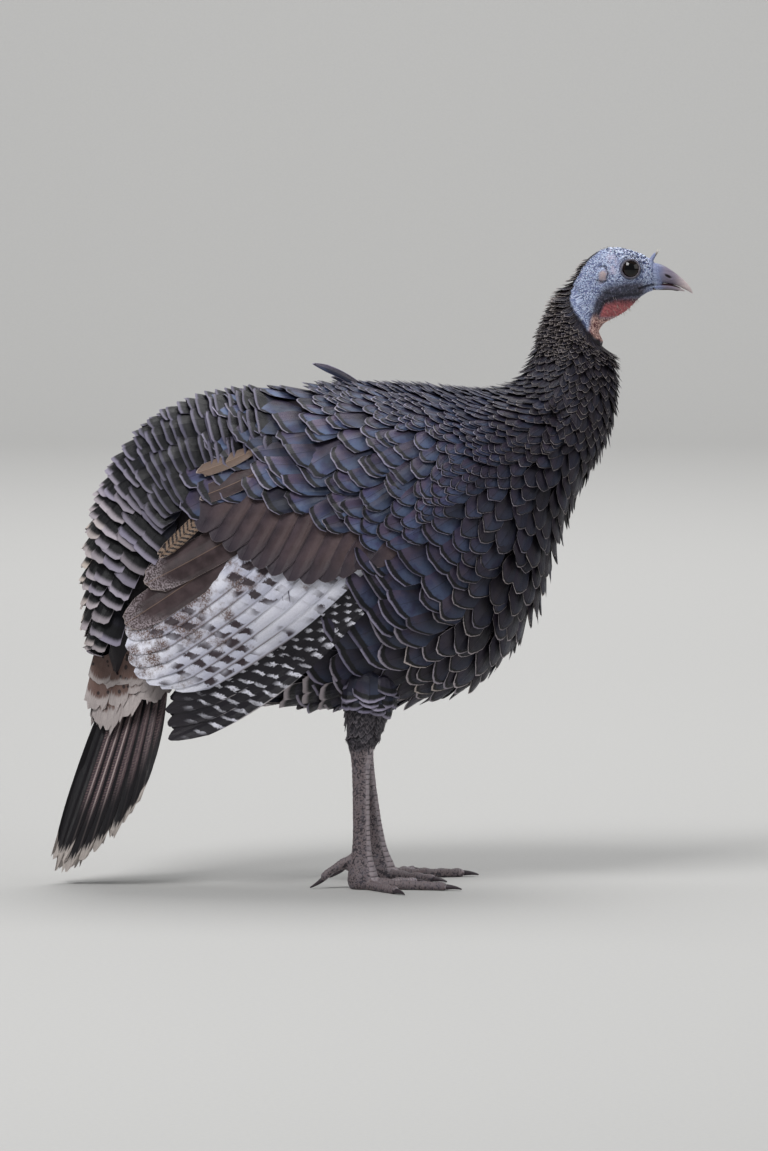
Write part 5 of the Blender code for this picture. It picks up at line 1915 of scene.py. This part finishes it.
print("pieces:", len(shown), "with", sum(triangles(piece) for piece in shown), "triangles")

# %% [markdown]
# ## Floor, light and camera
# A mounted bird is shown on a sweep: one sheet that runs back as floor and then curves up,
# so no line shows behind the subject. It stays far enough back for a camera behind the bird.
# The sheet is a plane whose far edge is extruded up, and the fold between is bevelled round.

# %% The sweep
SWEEP_WIDE, SWEEP_LONG, SWEEP_HIGH = 30, 22, 9
SWEEP_BACK = SWEEP_LONG / 2 - 1
SWEEP_ROUND = 2.5


def pick_edges(piece, chosen):
    """Selects the edges whose two ends pass a test, and goes into edit mode."""
    select_only(piece)
    bpy.ops.object.mode_set(mode="EDIT")
    bpy.ops.mesh.select_mode(type="EDGE")
    bpy.ops.mesh.select_all(action="DESELECT")
    bpy.ops.object.mode_set(mode="OBJECT")
    for edge in piece.data.edges:
        edge.select = all(chosen(piece.data.vertices[i].co) for i in edge.vertices)
    bpy.ops.object.mode_set(mode="EDIT")


bpy.ops.object.select_all(action="DESELECT")
bpy.ops.mesh.primitive_plane_add(size=1, location=(0, -1, 0))
bpy.context.object.scale = (SWEEP_WIDE, SWEEP_LONG, 1)
sweep = added("studio_sweep")
pick_edges(sweep, lambda co: co.y > SWEEP_BACK - 0.1)
bpy.ops.mesh.extrude_region_move(TRANSFORM_OT_translate={"value": (0, 0, SWEEP_HIGH)})
bpy.ops.object.mode_set(mode="OBJECT")
pick_edges(sweep, lambda co: co.y > SWEEP_BACK - 0.1 and co.z < 0.1)
bpy.ops.mesh.bevel(offset=SWEEP_ROUND, segments=24, affect="EDGES")
bpy.ops.object.mode_set(mode="OBJECT")
sweep.data.shade_smooth()
sweep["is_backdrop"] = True
print("sweep:", len(sweep.data.polygons), "faces, back wall", SWEEP_BACK, "m behind the bird")

# %% [markdown]
# Matt emulsion paint on board gives the sweep its even pale grey. A faint roller stipple, some
# millimetres across, keeps it from looking like bare light.

# %% Emulsion: rolled matt paint, which scatters all light evenly
emulsion = Finish("matt_emulsion", 0.8)
stipple = {"Vector": emulsion.place, "Scale": 220.0, "Detail": 2.0}
emulsion.known["stipple"] = emulsion.node("TexNoise", stipple)["Fac"]
sweep.data.materials.append(emulsion.cover(emulsion.paint("b6b5b3", ("stipple", "bcbbb9"))))

# %% [markdown]
# A big soft key light stands high in front of the bird's right side, a weak fill softens the
# shadows, and a top light draws the edges of the feathers. One more lights only the back wall.

# %% Lights and world
# Name, place, what it points at, its side in metres and its power in watts.
LIGHTS = (
    ("key", (-1.5, -2.2, 3.4), (0, 0, 0.3), 1.6, 118),
    ("fill", (2.8, -1.6, 1.6), (0, 0, 0.3), 2.0, 20),
    ("top", (0.3, 0.9, 3.0), (0, 0, 0.3), 2.0, 60),
    ("wall", (0, 3.5, 5.5), (0, 10, 1.5), 4.0, 420),
)
for name, place, target, size, power in LIGHTS:
    bpy.ops.object.light_add(type="AREA", location=place)
    lamp = bpy.context.object
    lamp.name = name
    lamp.data.size, lamp.data.energy = size, power
    lamp.rotation_euler = (Vector(target) - Vector(place)).to_track_quat("-Z", "Y").to_euler()
world = bpy.data.worlds.new("studio")
bpy.context.scene.world = world
world.use_nodes = True
sky = world.node_tree.nodes["Background"].inputs
sky["Color"].default_value, sky["Strength"].default_value = (0.9, 0.95, 1, 1), 0.24
print("lights:", len(LIGHTS))

# %% [markdown]
# The camera looks square at the right side from seven metres, a little from above, through a
# long lens, so near and far legs keep nearly the same size. Its aim is a share of the solids'
# own box, and the lens takes in 1.036 m of height at the bird.

# %% The camera
DISTANCE, ELEVATION = 7.0, math.radians(4)
VIEW_HIGH, SENSOR = 1.0359, 36
# How far ahead of the box's middle the aim is, in mm, and how high up the box, as a share.
AIM_AHEAD, AIM_HIGH = 10.2, 0.4855
low, high = (np.array(corner) for corner in CAD_BOX)
aim = Vector(((low[0] + high[0]) / 2 + AIM_AHEAD * MM, 0, low[2] + AIM_HIGH * (high[2] - low[2])))
bpy.ops.object.camera_add(rotation=(math.pi / 2 - ELEVATION, 0, 0))
camera = bpy.context.object
camera.name = "side_view"
camera.location = aim + Vector((0, -math.cos(ELEVATION), math.sin(ELEVATION))) * DISTANCE
camera.data.lens = SENSOR * DISTANCE / VIEW_HIGH
bpy.context.scene.camera = camera
bpy.context.scene.view_settings.view_transform = "Standard"
print("aim:", [round(v, 4) for v in aim], "lens:", round(camera.data.lens, 1), "mm")

# %% [markdown]
# The finished bird must keep the size of its solids, so both boxes are measured and their difference
# printed.

# %% Sizes, and the end
sizes = {"cad": [list(c) for c in CAD_BOX], "visual": [list(c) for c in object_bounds()]}
for corner, (cad, visual) in enumerate(zip(sizes["cad"], sizes["visual"])):
    print(("low", "high")[corner], "grows by mm:", [round((v - c) / MM, 1) for c, v in zip(cad, visual)])
